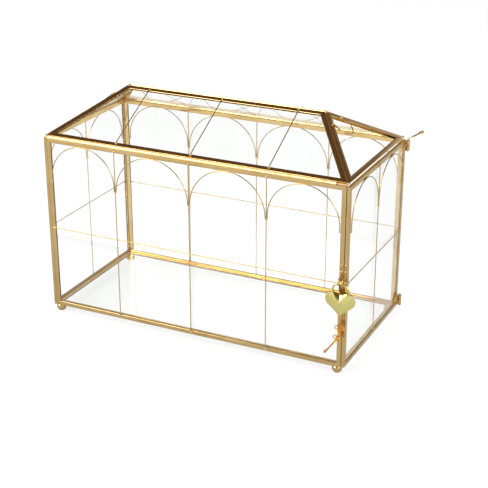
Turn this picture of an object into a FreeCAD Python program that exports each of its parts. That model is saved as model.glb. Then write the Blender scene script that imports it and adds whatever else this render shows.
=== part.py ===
import FreeCAD, Part
import math
import os

import Sketcher
from FreeCAD import Placement, Rotation, Vector

# Glass wedding card box with a hipped roof. Each pane sits in a ring of brass channel, the rings are
# soldered edge to edge, and the right end is a hinged door held by a heart padlock.
# Sizes are millimetres, +Z is up, and the origin is on the table under the middle of the whole outline.

SIZES = {
    # Whole box
    "overall_length": 320.0,
    "overall_depth": 150.0,
    "eave_height": 187.5,
    "roof_rise": 38.3,
    "ridge_length": 209.0,
    "foot_height": 8.0,
    # Brass channel and glass
    "channel_width": 4.4,
    "channel_depth": 3.2,
    "groove_width": 2.2,
    "groove_depth": 3.4,
    "glass_thickness": 2.0,
    "glass_engagement": 3.0,
    "solder_leg": 2.5,
    # Door leaf
    "door_gap": 0.3,
    "door_margin": 0.5,
    # Wirework
    "wire_diameter": 1.0,
    "wire_lap": 1.4,
    "wire_gap": 0.04,
    "upright_pitch": 80.0,
    "arch_rise": 39.8,
    "arch_lap": 0.2,
    "cross_level": 86.0,
    # Wire loops under the roof's end points
    "loop_diameter": 1.3,
    "loop_radius": 11.0,
    "loop_leg": 7.0,
    "loop_level": 44.5,
    # Ball feet
    "ball_diameter": 9.6,
    "ball_flat": 0.3,
    "ball_inset": 5.2,
    # Hinges
    "pin_diameter": 1.6,
    "pin_clearance": 0.05,
    "pin_over": 1.2,
    "pin_head": 0.8,
    "pin_tail": 12.0,
    "pin_tail_rise": 4.5,
    "pin_ring_radius": 1.9,
    "knuckle_diameter": 3.5,
    "knuckle_height": 5.0,
    "knuckle_gap": 0.3,
    "knuckle_margin": 1.5,
    "strap_length": 10.0,
    "strap_thickness": 0.8,
    "axis_beyond_face": 1.75,
    "axis_beyond_back": 1.3,
    # Lock eyes
    "eye_wire": 1.2,
    "eye_radius": 3.6,
    "eye_standoff": 0.15,
    "eye_tail": 15.0,
    "eye_level": 97.5,
    # Padlock
    "shackle_diameter": 2.0,
    "shackle_radius": 7.9,
    "shackle_forward": 1.3,
    "shackle_drop": 0.8,
    "free_leg": 7.1,
    "pivot_leg": 8.7,
    "pivot_eye": 4.4,
    "pivot_thickness": 2.4,
    "notch_depth": 0.9,
    "notch_height": 1.6,
    "notch_level": 3.8,
    "lobe_radius": 7.6,
    "lobe_spread": 6.9,
    "heart_drop": 15.4,
    "heart_level": 16.6,
    "shell_depth": 3.0,
    "shell_rim": 1.5,
    "cavity_radius": 6.1,
    "cavity_spread": 5.9,
    "cavity_drop": 12.4,
    "cavity_depth": 2.0,
    "leg_slot": 1.2,
    "rivet_diameter": 1.8,
    "rivet_depth": 2.5,
    "latch_width": 1.4,
    "latch_reach": 3.9,
    "latch_thickness": 2.4,
    "latch_arm": 1.2,
    "latch_stem": 9.4,
    # Keys and their ring
    "key_bow_level": 44.5,
    "bow_lobe": 2.2,
    "bow_spread": 2.9,
    "bow_hole": 1.2,
    "bow_thickness": 1.6,
    "shank_diameter": 1.8,
    "shank_length": 21.0,
    "bit_reach": 1.7,
    "bit_height": 3.0,
    "bit_thickness": 1.0,
    "ring_radius": 2.6,
    "ring_wire": 0.9,
    "ring_slack": 0.2,
    "spare_tilt": 35.0,
}

# Sizes worked out from the sheet, as expressions
INNER_LENGTH = "(Sheet.overall_length - 2 * Sheet.channel_depth - Sheet.door_gap)"
INNER_DEPTH = "(Sheet.overall_depth - 2 * Sheet.channel_depth)"
WALL_HEIGHT = "(Sheet.eave_height - Sheet.foot_height)"
DOOR_WIDTH = "(Sheet.overall_depth - 2 * Sheet.door_margin)"
DOOR_HEIGHT = "(" + WALL_HEIGHT + " - 2 * Sheet.door_margin)"
HIP_INSET = "((" + INNER_LENGTH + " - Sheet.ridge_length) / 2)"
LONG_SLANT = "hypot(" + INNER_DEPTH + " / 2; Sheet.roof_rise)"
END_SLANT = "hypot(" + HIP_INSET + "; Sheet.roof_rise)"
LONG_PITCH = "atan(Sheet.roof_rise / (" + INNER_DEPTH + " / 2))"
END_PITCH = "atan(Sheet.roof_rise / " + HIP_INSET + ")"
WIRE_RADIUS = "Sheet.wire_diameter / 2"

X_AXIS, Y_AXIS, Z_AXIS = Vector(1, 0, 0), Vector(0, 1, 0), Vector(0, 0, 1)
ORIGIN_POINT, HORIZONTAL, VERTICAL = (-1, 1), -1, -2
START, END, CENTRE = 1, 2, 3
WIRE_SIDES = 6
SHACKLE_SIDES = 8
BOW_SIDES = 12
CORNER_OUT = Rotation(Z_AXIS, 90)


class Box:
    """The document, its sheet of sizes and the nodes to write."""

    def __init__(self):
        self.doc = FreeCAD.newDocument("card_box")
        self.sheet = self.doc.addObject("Spreadsheet::Sheet", "Sheet")
        for row, (alias, value) in enumerate(SIZES.items(), start=1):
            self.sheet.set("A%d" % row, alias)
            self.sheet.set("B%d" % row, str(value))
            self.sheet.setAlias("B%d" % row, alias)
        self.doc.recompute()
        self.nodes = []

    def size(self, alias):
        """A size of the sheet, as a number."""
        return float(self.sheet.get(alias))

    def add(self, kind, name, bindings=None, placement=None):
        """A document object with its sizes bound to the sheet."""
        thing = self.doc.addObject(kind, name)
        thing.Label = name
        for prop, expression in (bindings or {}).items():
            thing.setExpression(prop, expression)
        if placement is not None:
            thing.Placement = placement
        return thing

    def node(self, thing):
        """Mark an object as a sub-part with a file of its own."""
        self.nodes.append(thing)
        return thing


# Frames and small solids

def frame_of(x_dir, y_dir, base):
    """Placement whose local axes are x_dir, y_dir and their cross product."""
    z_dir = x_dir.cross(y_dir)
    matrix = FreeCAD.Matrix(
        x_dir.x, y_dir.x, z_dir.x, base.x,
        x_dir.y, y_dir.y, z_dir.y, base.y,
        x_dir.z, y_dir.z, z_dir.z, base.z,
        0, 0, 0, 1)
    return Placement(matrix)


def rod(box, name, radius, length, start, direction, frame=Placement()):
    """Straight round rod from a start point along a direction of the frame."""
    local = Placement(start, Rotation(Z_AXIS, direction))
    return box.add("Part::Cylinder", name, {"Radius": radius, "Height": length}, frame.multiply(local))


def wire(box, name, radius, length, start, direction, frame=Placement(), sides=WIRE_SIDES):
    """Straight drawn wire with a many-sided section, from a start point along a direction of the frame."""
    local = Placement(start, Rotation(Z_AXIS, direction).multiply(CORNER_OUT))
    thing = box.add("Part::Prism", name, {"Circumradius": radius, "Height": length}, frame.multiply(local))
    thing.Polygon = sides
    return thing


def ring(box, name, ring_radius, wire_radius, centre, rotation, frame=Placement(), sweep=360, sides=WIRE_SIDES):
    """Wire ring, or part of one, about the local Z axis of its rotation."""
    section = box.add("Part::RegularPolygon", name + "_section", {"Circumradius": wire_radius},
                      Placement(Vector(), Rotation(X_AXIS, 90).multiply(CORNER_OUT)))
    section.Polygon = sides
    section.setExpression("Placement.Base.x", ring_radius)
    thing = box.add("Part::Revolution", name, placement=frame.multiply(Placement(centre, rotation)))
    thing.Source = section
    thing.Axis = Z_AXIS
    thing.Angle = sweep
    thing.Solid = True
    return thing


def ball(box, name, radius, centre, frame=Placement()):
    """Round ball at a point of the frame."""
    return box.add("Part::Sphere", name, {"Radius": radius}, frame.multiply(Placement(centre, Rotation())))


def block(box, name, sizes, corner, frame=Placement()):
    """Rectangular block from its lowest corner."""
    bindings = dict(zip(("Length", "Width", "Height"), sizes))
    return box.add("Part::Box", name, bindings, frame.multiply(Placement(corner, Rotation())))


def fuse(box, name, members):
    """One solid made of several that meet."""
    thing = box.add("Part::MultiFuse", name)
    thing.Shapes = members
    return thing


def cut(box, name, base, tool):
    """A solid with another taken out of it."""
    thing = box.add("Part::Cut", name)
    thing.Base = base
    thing.Tool = tool
    return thing


def group(box, name, members):
    """Like pieces that share one node, as separate solids."""
    thing = box.add("Part::Compound", name)
    thing.Links = members
    return thing


# Sketches

def new_body(box, name, placement):
    """Empty body with its place in the box."""
    return box.add("PartDesign::Body", name, placement=placement)


def new_sketch(body, name, role="XY_Plane", lift=None):
    """Sketch on one of the body's own origin planes, lifted along its normal."""
    sketch = body.newObject("Sketcher::SketchObject", name)
    plane = [feature for feature in body.Origin.OriginFeatures if feature.Role == role][0]
    sketch.AttachmentSupport = (plane, [""])
    sketch.MapMode = "FlatFace"
    if lift:
        sketch.setExpression("AttachmentOffset.Base.z", lift)
    return sketch


def extrude(body, kind, sketch, length, backwards=False):
    """Pad or Pocket of a sketch."""
    feature = body.newObject("PartDesign::" + kind, sketch.Name + "_" + kind.lower())
    feature.Profile = sketch
    feature.setExpression("Length", length)
    feature.Reversed = backwards
    return feature


def dimension(sketch, name, constraint, expression):
    """Named constraint that takes its value from the sheet."""
    index = sketch.addConstraint(constraint)
    sketch.renameConstraint(index, name)
    sketch.setExpression("Constraints." + name, expression)


def polygon(sketch, points, construction=False):
    """Closed chain of lines; returns the number of its first line."""
    first = sketch.GeometryCount
    count = len(points)
    for here, there in zip(points, points[1:] + points[:1]):
        sketch.addGeometry(Part.LineSegment(Vector(*here), Vector(*there)), construction)
    for side in range(count):
        following = first + (side + 1) % count
        sketch.addConstraint(Sketcher.Constraint("Coincident", first + side, END, following, START))
    return first


def inset(points, distance):
    """The same counter-clockwise polygon moved in by a distance on every side."""
    moved = []
    count = len(points)
    for index in range(count):
        before, here, after = (Vector(*points[(index + step) % count]) for step in (-1, 0, 1))
        arriving = (here - before).normalize()
        leaving = (after - here).normalize()
        inward = Vector(-arriving.y - leaving.y, arriving.x + leaving.x, 0)
        inward.multiply(distance / (1 + arriving.dot(leaving)))
        corner = here + inward
        moved.append((corner.x, corner.y))
    return moved


class Face:
    """One flat side of the box: its outline in its own plane and its place.

    Local x runs along the bottom edge, y up the pane and z outwards from the inner face.
    """

    def __init__(self, bottom, top, height, sizes, place):
        self.bottom, self.top, self.height = bottom, top, height
        self.width_mm, self.top_mm, self.height_mm = sizes
        self.place = place

    def corners(self):
        """Corners of the outline, counter-clockwise from the bottom left."""
        half, half_top = self.width_mm / 2, self.top_mm / 2
        base = [(-half, 0), (half, 0)]
        if self.top:
            return base + [(half_top, self.height_mm), (-half_top, self.height_mm)]
        return base + [(0, self.height_mm)]

    def draw(self, sketch, construction=False):
        """The outline as a fully sized sketch polygon."""
        first = polygon(sketch, self.corners(), construction)
        rule = Sketcher.Constraint
        sketch.addConstraint(rule("Symmetric", first, START, first, END, VERTICAL))
        sketch.addConstraint(rule("PointOnObject", first, START, HORIZONTAL))
        dimension(sketch, "bottom", rule("DistanceX", first, START, first, END, self.width_mm), self.bottom)
        rise = rule("DistanceY", first, END, first + 2, START, self.height_mm)
        dimension(sketch, "rise", rise, self.height)
        if self.top:
            sketch.addConstraint(rule("Symmetric", first + 2, START, first + 2, END, VERTICAL))
            dimension(sketch, "top", rule("DistanceX", first + 2, END, first + 2, START, self.top_mm), self.top)
        else:
            sketch.addConstraint(rule("PointOnObject", first + 2, START, VERTICAL))
        return first

    def draw_inset(self, sketch, outer, name, expression, distance):
        """A line inside each side of the outline, at one distance from it."""
        first = polygon(sketch, inset(self.corners(), distance))
        for side in range(len(self.corners())):
            sketch.addConstraint(Sketcher.Constraint("Parallel", first + side, outer + side))
            apart = Sketcher.Constraint("Distance", first + side, START, outer + side, distance)
            dimension(sketch, "%s%d" % (name, side), apart, expression)


# Panes in their brass channels

def channel_ring(box, name, face):
    """Brass channel folded round one pane, with a groove for the glass on its inner edge."""
    body = new_body(box, name, face.place)
    outline = new_sketch(body, name + "_outline")
    outer = face.draw(outline)
    face.draw_inset(outline, outer, "width", "Sheet.channel_width", box.size("channel_width"))
    extrude(body, "Pad", outline, "Sheet.channel_depth")
    groove = new_sketch(body, name + "_groove", lift="(Sheet.channel_depth - Sheet.groove_width) / 2")
    outer = face.draw(groove, construction=True)
    wall = box.size("channel_width") - box.size("groove_depth")
    face.draw_inset(groove, outer, "wall", "Sheet.channel_width - Sheet.groove_depth", wall)
    extrude(body, "Pocket", groove, "Sheet.groove_width", backwards=True)
    return box.node(body)


def pane(box, name, face):
    """Clear glass whose edges stand in the channel's groove."""
    body = new_body(box, name, face.place)
    outline = new_sketch(body, name + "_outline", lift="(Sheet.channel_depth - Sheet.glass_thickness) / 2")
    outer = face.draw(outline, construction=True)
    edge = box.size("channel_width") - box.size("glass_engagement")
    face.draw_inset(outline, outer, "edge", "Sheet.channel_width - Sheet.glass_engagement", edge)
    extrude(body, "Pad", outline, "Sheet.glass_thickness")
    return box.node(body)


def make_faces(box):
    """Every flat side of the box, by name."""
    depth = box.size("channel_depth")
    half_length = (box.size("overall_length") - 2 * depth - box.size("door_gap")) / 2
    half_depth = box.size("overall_depth") / 2 - depth
    floor, eave, rise = box.size("foot_height"), box.size("eave_height"), box.size("roof_rise")
    margin, ridge = box.size("door_margin"), box.size("ridge_length")
    hip_inset = half_length - ridge / 2
    long_slant, end_slant = math.hypot(half_depth, rise), math.hypot(hip_inset, rise)
    wall = eave - floor
    up_front = Vector(0, half_depth, rise).normalize()
    up_back = Vector(0, -half_depth, rise).normalize()
    up_left = Vector(hip_inset, 0, rise).normalize()
    up_right = Vector(-hip_inset, 0, rise).normalize()
    long_sizes = (2 * half_length, 2 * half_length, wall)
    end_sizes = (box.size("overall_depth"), box.size("overall_depth"), wall)
    door_sizes = (end_sizes[0] - 2 * margin, end_sizes[0] - 2 * margin, wall - 2 * margin)
    base_sizes = (2 * half_length, 2 * half_length, 2 * half_depth)
    slope_sizes = (2 * half_length, ridge, long_slant)
    hip_sizes = (2 * half_depth, 0, end_slant)
    door_x = half_length + box.size("door_gap")
    long_wall = (INNER_LENGTH, INNER_LENGTH, WALL_HEIGHT, long_sizes)
    end_wall = ("Sheet.overall_depth", "Sheet.overall_depth", WALL_HEIGHT, end_sizes)
    base = (INNER_LENGTH, INNER_LENGTH, INNER_DEPTH, base_sizes)
    door = (DOOR_WIDTH, DOOR_WIDTH, DOOR_HEIGHT, door_sizes)
    slope = (INNER_LENGTH, "Sheet.ridge_length", LONG_SLANT, slope_sizes)
    hip_end = (INNER_DEPTH, None, END_SLANT, hip_sizes)
    return {
        "front": Face(*long_wall, frame_of(X_AXIS, Z_AXIS, Vector(0, -half_depth, floor))),
        "back": Face(*long_wall, frame_of(-X_AXIS, Z_AXIS, Vector(0, half_depth, floor))),
        "left": Face(*end_wall, frame_of(-Y_AXIS, Z_AXIS, Vector(-half_length, 0, floor))),
        "base": Face(*base, frame_of(X_AXIS, -Y_AXIS, Vector(0, half_depth, floor + depth))),
        "door": Face(*door, frame_of(Y_AXIS, Z_AXIS, Vector(door_x, 0, floor + margin))),
        "roof_front": Face(*slope, frame_of(X_AXIS, up_front, Vector(0, -half_depth, eave))),
        "roof_back": Face(*slope, frame_of(-X_AXIS, up_back, Vector(0, half_depth, eave))),
        "roof_left": Face(*hip_end, frame_of(-Y_AXIS, up_left, Vector(-half_length, 0, eave))),
        "roof_right": Face(*hip_end, frame_of(Y_AXIS, up_right, Vector(half_length, 0, eave))),
    }


# Wirework

class Wirework:
    """Wires soldered on the outer face of one wall: uprights, arches and cross wires."""

    def __init__(self, box, name, face, bays):
        self.box, self.name, self.face, self.bays = box, name, face, bays
        pitch, edge = box.size("upright_pitch"), box.size("channel_width")
        self.height_out = box.size("channel_depth") + box.size("wire_diameter") / 2
        self.opening = face.width_mm / 2 - edge
        self.uprights_x = [pitch * (index + 1 - bays / 2) for index in range(bays - 1)]
        self.end_bay = "((%s - 2 * Sheet.channel_width - %d * Sheet.upright_pitch) / 2)" % (face.bottom, bays - 2)

    def point(self, x, y):
        """A point on the wires' middle plane."""
        return Vector(x, y, self.height_out)

    def label(self, piece, index):
        return "%s_%s_%d" % (self.name, piece, index + 1)

    def uprights(self):
        """Straight wires from the bottom channel to the top one."""
        box, lap = self.box, self.box.size("wire_lap")
        length = "%s - 2 * Sheet.channel_width + 2 * Sheet.wire_lap" % self.face.height
        start = box.size("channel_width") - lap
        wires = [wire(box, self.label("upright", index), WIRE_RADIUS, length, self.point(x, start), Y_AXIS,
                      self.face.place) for index, x in enumerate(self.uprights_x)]
        return box.node(group(box, self.name + "_uprights", wires))

    def bay_spans(self):
        """Clear width, from wire to wire, of every bay, with the radius its arch takes."""
        thick, gap = self.box.size("wire_diameter"), self.box.size("wire_gap")
        inner_radius = "(Sheet.upright_pitch / 2 - Sheet.wire_diameter - Sheet.wire_gap)"
        end_radius = "(%s / 2 - 0.75 * Sheet.wire_diameter - Sheet.wire_gap)" % self.end_bay
        stops = [-self.opening] + self.uprights_x + [self.opening]
        for index, (left, right) in enumerate(zip(stops, stops[1:])):
            first, last = index == 0, index == self.bays - 1
            left_edge = left + (0 if first else thick / 2)
            right_edge = right - (0 if last else thick / 2)
            radius_mm = (right_edge - left_edge - thick) / 2 - gap
            yield (left_edge + right_edge) / 2, radius_mm, end_radius if first or last else inner_radius

    def arches(self):
        """One round-headed arch in every bay, touching the top channel."""
        box = self.box
        crown = self.face.height_mm - box.size("channel_width") + box.size("arch_lap")
        foot = crown - box.size("arch_rise")
        made = []
        for index, (x, radius_mm, radius) in enumerate(self.bay_spans()):
            name = self.label("arch", index)
            head = ring(box, name + "_head", radius, WIRE_RADIUS, self.point(x, crown - radius_mm), Rotation(),
                        self.face.place, sweep=180)
            leg = "Sheet.arch_rise - " + radius
            legs = [wire(box, "%s_leg_%d" % (name, side), WIRE_RADIUS, leg, self.point(x + side * radius_mm, foot),
                         Y_AXIS, self.face.place) for side in (-1, 1)]
            made.append(fuse(box, name, [head] + legs))
        return box.node(group(box, self.name + "_arches", made))

    def cross_wires(self):
        """Level wire across the wall, in lengths that butt against the uprights."""
        box, lap = self.box, self.box.size("wire_lap")
        thick, level = box.size("wire_diameter"), box.size("cross_level")
        end_length = self.end_bay + " - Sheet.wire_diameter / 2 + Sheet.wire_lap"
        inner_length = "Sheet.upright_pitch - Sheet.wire_diameter"
        starts = [-self.opening - lap] + [x + thick / 2 for x in self.uprights_x]
        wires = []
        for index, x in enumerate(starts):
            length = end_length if index in (0, self.bays - 1) else inner_length
            wires.append(wire(box, self.label("cross", index), WIRE_RADIUS, length, self.point(x, level), X_AXIS,
                              self.face.place))
        return box.node(group(box, self.name + "_cross_wires", wires))


def slope_wires(box, name, face):
    """Straight wires up a long roof slope, in line with the wall's uprights."""
    pitch, lap = box.size("upright_pitch"), box.size("wire_lap")
    out = box.size("channel_depth") + box.size("wire_diameter") / 2
    length = "%s - 2 * Sheet.channel_width + 2 * Sheet.wire_lap" % face.height
    start = box.size("channel_width") - lap
    wires = [wire(box, "%s_wire_%d" % (name, index + 2), WIRE_RADIUS, length, Vector(index * pitch, start, out), Y_AXIS,
                  face.place) for index in (-1, 0, 1)]
    return box.node(group(box, name + "_wires", wires))


def apex_loop(box, name, face):
    """Wire loop that hangs between the two hip channels, below the roof's end point."""
    radius, level = box.size("loop_radius"), box.size("loop_level")
    out = box.size("channel_depth") + box.size("loop_diameter") / 2
    thick = "Sheet.loop_diameter / 2"
    bend = ring(box, name + "_bend", "Sheet.loop_radius", thick, Vector(0, level, out), Rotation(Z_AXIS, 180),
                face.place, sweep=180)
    legs = [wire(box, "%s_leg_%d" % (name, side), thick, "Sheet.loop_leg", Vector(side * radius, level, out), Y_AXIS,
                 face.place) for side in (-1, 1)]
    return box.node(fuse(box, name, [bend] + legs))


# Solder in the seams between the channel rings

def solder_bead(box, name, length, angle, angle_deg, frame):
    """Three-sided bead that fills the notch between two rings, from its inner line outwards."""
    body = new_body(box, name, frame)
    sketch = new_sketch(body, name + "_section")
    leg = box.size("solder_leg")
    turn = math.radians(angle_deg)
    tip, far = Vector(leg, 0), Vector(leg * math.cos(turn), leg * math.sin(turn))
    for here, there in ((Vector(), tip), (Vector(), far), (tip, far)):
        sketch.addGeometry(Part.LineSegment(here, there))
    rule = Sketcher.Constraint
    sketch.addConstraint(rule("Coincident", 0, START, *ORIGIN_POINT))
    sketch.addConstraint(rule("Coincident", 1, START, *ORIGIN_POINT))
    sketch.addConstraint(rule("Coincident", 0, END, 2, START))
    sketch.addConstraint(rule("Coincident", 1, END, 2, END))
    sketch.addConstraint(rule("Horizontal", 0))
    dimension(sketch, "lower_leg", rule("Distance", 0, leg), "Sheet.solder_leg")
    dimension(sketch, "upper_leg", rule("Distance", 1, leg), "Sheet.solder_leg")
    dimension(sketch, "spread", rule("Angle", 0, START, 1, START, turn), angle)
    extrude(body, "Pad", sketch, length)
    return body


def seam_frame(start, run, first_normal, second_normal):
    """Place of a bead: local z along the seam, local x along the first ring's normal."""
    along = Vector(run).normalize()
    if along.cross(first_normal).dot(second_normal) < 0:
        return frame_of(first_normal, (-along).cross(first_normal), start + run)
    return frame_of(first_normal, along.cross(first_normal), start)


def solder_seams(box, faces):
    """Beads along the eaves, the hips and the ridge."""
    half_length = faces["front"].width_mm / 2
    half_depth = faces["roof_left"].width_mm / 2
    eave, rise = box.size("eave_height"), box.size("roof_rise")
    half_ridge = box.size("ridge_length") / 2
    normal = {name: face.place.Rotation.multVec(Z_AXIS) for name, face in faces.items()}
    long_deg = math.degrees(math.atan2(rise, half_depth))
    end_deg = math.degrees(math.atan2(rise, half_length - half_ridge))
    hip_deg = math.degrees(math.acos(normal["roof_front"].dot(normal["roof_left"])))
    hip_run = "sqrt(%s^2 + (%s / 2)^2 + Sheet.roof_rise^2)" % (HIP_INSET, INNER_DEPTH)
    clear_end = "Sheet.strap_length"
    eaves = []
    for side, sign in (("front", -1), ("back", 1)):
        start = Vector(-half_length, sign * half_depth, eave)
        run = Vector(2 * half_length - box.size("strap_length"), 0, 0)
        frame = seam_frame(start, run, normal[side], normal["roof_" + side])
        eaves.append(solder_bead(box, "eave_bead_" + side, INNER_LENGTH + " - " + clear_end, "90 deg - " + LONG_PITCH,
                                 90 - long_deg, frame))
    start = Vector(-half_length, -half_depth, eave)
    frame = seam_frame(start, Vector(0, 2 * half_depth, 0), normal["left"], normal["roof_left"])
    eaves.append(solder_bead(box, "eave_bead_left", INNER_DEPTH, "90 deg - " + END_PITCH, 90 - end_deg, frame))
    box.node(group(box, "eave_solder", eaves))
    hips = []
    for end, end_sign in (("left", -1), ("right", 1)):
        for side, side_sign in (("front", -1), ("back", 1)):
            start = Vector(end_sign * half_length, side_sign * half_depth, eave)
            run = Vector(end_sign * half_ridge, 0, eave + rise) - start
            frame = seam_frame(start, run, normal["roof_" + side], normal["roof_" + end])
            angle = "acos(cos(%s) * cos(%s))" % (LONG_PITCH, END_PITCH)
            hips.append(solder_bead(box, "hip_bead_%s_%s" % (side, end), hip_run, angle, hip_deg, frame))
    box.node(group(box, "hip_solder", hips))
    start = Vector(-half_ridge, 0, eave + rise)
    frame = seam_frame(start, Vector(2 * half_ridge, 0, 0), normal["roof_front"], normal["roof_back"])
    box.node(solder_bead(box, "ridge_solder", "Sheet.ridge_length", "2 * " + LONG_PITCH, 2 * long_deg, frame))


# Feet

def ball_feet(box):
    """Four balls with a small flat to stand on and a flat soldered under the base."""
    radius, flat, inset_mm = box.size("ball_diameter") / 2, box.size("ball_flat"), box.size("ball_inset")
    half_length = (box.size("overall_length") - box.size("door_gap")) / 2
    half_depth = box.size("overall_depth") / 2
    centre_height = "(Sheet.ball_diameter / 2 - Sheet.ball_flat)"
    latitude = {
        "Angle1": "-asin(%s / (Sheet.ball_diameter / 2))" % centre_height,
        "Angle2": "asin((Sheet.foot_height - %s) / (Sheet.ball_diameter / 2))" % centre_height,
    }
    feet = []
    for end in (-1, 1):
        for side in (-1, 1):
            inward = inset_mm + (box.size("channel_depth") if end > 0 else 0)
            centre = Vector(end * (half_length - inward), side * (half_depth - inset_mm), radius - flat)
            foot = ball(box, "foot_%d" % (len(feet) + 1), "Sheet.ball_diameter / 2", centre)
            for prop, expression in latitude.items():
                foot.setExpression(prop, expression)
            feet.append(foot)
    return box.node(group(box, "ball_feet", feet))


# Hinges

def hinge_axis(box, faces):
    """Where the door's hinge axis crosses the ground plane."""
    door = faces["door"].place.Base
    x = door.x + box.size("channel_depth") + box.size("axis_beyond_face")
    return Vector(x, box.size("overall_depth") / 2 + box.size("axis_beyond_back"), 0)


def hinge_leaf(box, name, axis, level, on_door):
    """Strap soldered flat on the door or the back ring, rolled into a knuckle round the pin."""
    length = box.size("strap_length")
    high = "Sheet.knuckle_height"
    knuckle = rod(box, name + "_knuckle", "Sheet.knuckle_diameter / 2", high, axis + Vector(0, 0, level), Z_AXIS)
    if on_door:
        corner = Vector(axis.x - box.size("axis_beyond_face"), axis.y - length, level)
        strap = block(box, name + "_strap", ("Sheet.strap_thickness", "Sheet.strap_length", high), corner)
    else:
        corner = Vector(axis.x - length, axis.y - box.size("axis_beyond_back"), level)
        strap = block(box, name + "_strap", ("Sheet.strap_length", "Sheet.strap_thickness", high), corner)
    bore = rod(box, name + "_bore", "Sheet.pin_diameter / 2 + Sheet.pin_clearance", high,
               axis + Vector(0, 0, level), Z_AXIS)
    return box.node(cut(box, name, fuse(box, name + "_blank", [knuckle, strap]), bore))


def hinge_levels(box):
    """Heights of the frame and door knuckles at the top and at the bottom."""
    high, gap, margin = box.size("knuckle_height"), box.size("knuckle_gap"), box.size("knuckle_margin")
    top, bottom = box.size("eave_height") - margin, box.size("foot_height") + margin
    upper = {"frame": top - high, "door": top - 2 * high - gap}
    lower = {"frame": bottom, "door": bottom + high + gap}
    return upper, lower


def hinges(box, faces):
    """Two pin hinges on the back right corner; the upper pin ends in a ring to draw it by."""
    axis = hinge_axis(box, faces)
    upper, lower = hinge_levels(box)
    over = box.size("pin_over")
    radius = "Sheet.pin_diameter / 2"
    span = "2 * Sheet.knuckle_height + Sheet.knuckle_gap + 2 * Sheet.pin_over"
    for name, levels in (("upper", upper), ("lower", lower)):
        hinge_leaf(box, name + "_hinge_frame_leaf", axis, levels["frame"], on_door=False)
        hinge_leaf(box, name + "_hinge_door_leaf", axis, levels["door"], on_door=True)
    foot = axis + Vector(0, 0, upper["door"] - over)
    top = axis + Vector(0, 0, upper["frame"] + box.size("knuckle_height") + over)
    reach = box.size("pin_tail") / math.sqrt(2)
    tail = Vector(reach, reach, box.size("pin_tail_rise"))
    away = Vector(tail).normalize()
    centre = top + tail + away * box.size("pin_ring_radius")
    level = Rotation(Z_AXIS, away.cross(Vector(-1, 1, 0)))
    length = "hypot(Sheet.pin_tail; Sheet.pin_tail_rise)"
    pieces = [
        rod(box, "upper_pin_shaft", radius, span, foot, Z_AXIS),
        ball(box, "upper_pin_elbow", radius, top),
        rod(box, "upper_pin_tail", radius, length, top, away),
        ring(box, "upper_pin_ring", "Sheet.pin_ring_radius", radius, centre, level),
    ]
    box.node(fuse(box, "upper_hinge_pin", pieces))
    foot = axis + Vector(0, 0, lower["frame"] - over)
    pieces = [
        rod(box, "lower_pin_shaft", radius, span, foot, Z_AXIS),
        rod(box, "lower_pin_head", "Sheet.pin_diameter", "Sheet.pin_head", foot, Z_AXIS),
    ]
    box.node(fuse(box, "lower_hinge_pin", pieces))


# Lock eyes

def lock_eye(box, name, x, surface_y, ring_y):
    """Wire eye for the shackle, with a straight tail soldered up the edge of a ring."""
    level, thick = box.size("eye_level"), "Sheet.eye_wire / 2"
    eye = ring(box, name + "_ring", "Sheet.eye_radius", thick, Vector(x, ring_y, level), Rotation(Y_AXIS, 90))
    tail_y = surface_y - box.size("eye_wire") / 2
    tail = wire(box, name + "_tail", thick, "Sheet.eye_tail", Vector(x, tail_y, level), Z_AXIS)
    return box.node(fuse(box, name, [eye, tail]))


def lock_eyes(box, faces):
    """One eye on the front ring's right edge, the other on the door; returns the padlock's origin."""
    front_y = -box.size("overall_depth") / 2
    ring_y = front_y - box.size("eye_wire") / 2 - box.size("eye_radius") - box.size("eye_standoff")
    frame_x = faces["front"].width_mm / 2 - box.size("channel_width") / 2
    door_x = faces["door"].place.Base.x + box.size("channel_depth") / 2
    lock_eye(box, "frame_lock_eye", frame_x, front_y, ring_y)
    lock_eye(box, "door_lock_eye", door_x, front_y + box.size("door_margin"), ring_y)
    return Vector((frame_x + door_x) / 2, ring_y - box.size("shackle_forward"),
                  box.size("eye_level") - box.size("shackle_drop"))


# Padlock

def shackle(box, origin):
    """Bent rod with a pivot eye on its left leg and a latch notch in its free right leg."""
    radius_mm, thick = box.size("shackle_radius"), "Sheet.shackle_diameter / 2"
    heart_z, notch = -box.size("heart_level"), box.size("notch_height")
    frame = Placement(origin, Rotation())
    bow_z = -radius_mm
    bow = ring(box, "shackle_bow", "Sheet.shackle_radius", thick, Vector(0, 0, bow_z), Rotation(X_AXIS, 90), frame,
               180, SHACKLE_SIDES)
    foot = Vector(radius_mm, 0, bow_z - box.size("free_leg"))
    free = wire(box, "shackle_free_leg", thick, "Sheet.free_leg", foot, Z_AXIS, frame, SHACKLE_SIDES)
    foot = Vector(-radius_mm, 0, bow_z - box.size("pivot_leg"))
    pivot = wire(box, "shackle_pivot_leg", thick, "Sheet.pivot_leg", foot, Z_AXIS, frame, SHACKLE_SIDES)
    half = box.size("shackle_diameter") / 2
    centre = Vector(-radius_mm, box.size("pivot_thickness") / 2, heart_z)
    eye = rod(box, "shackle_pivot_eye", "Sheet.pivot_eye / 2", "Sheet.pivot_thickness", centre, -Y_AXIS, frame)
    blank = fuse(box, "shackle_blank", [bow, free, pivot, eye])
    hole = rod(box, "shackle_pivot_hole", "Sheet.rivet_diameter / 2 + Sheet.pin_clearance", "Sheet.pivot_thickness",
               centre, -Y_AXIS, frame)
    corner = Vector(radius_mm - half, -half, heart_z + box.size("notch_level") - notch / 2)
    gap = block(box, "shackle_notch", ("Sheet.notch_depth", "Sheet.shackle_diameter", "Sheet.notch_height"), corner,
                frame)
    drilled = cut(box, "shackle_drilled", blank, hole)
    return box.node(cut(box, "shackle", drilled, gap))


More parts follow.
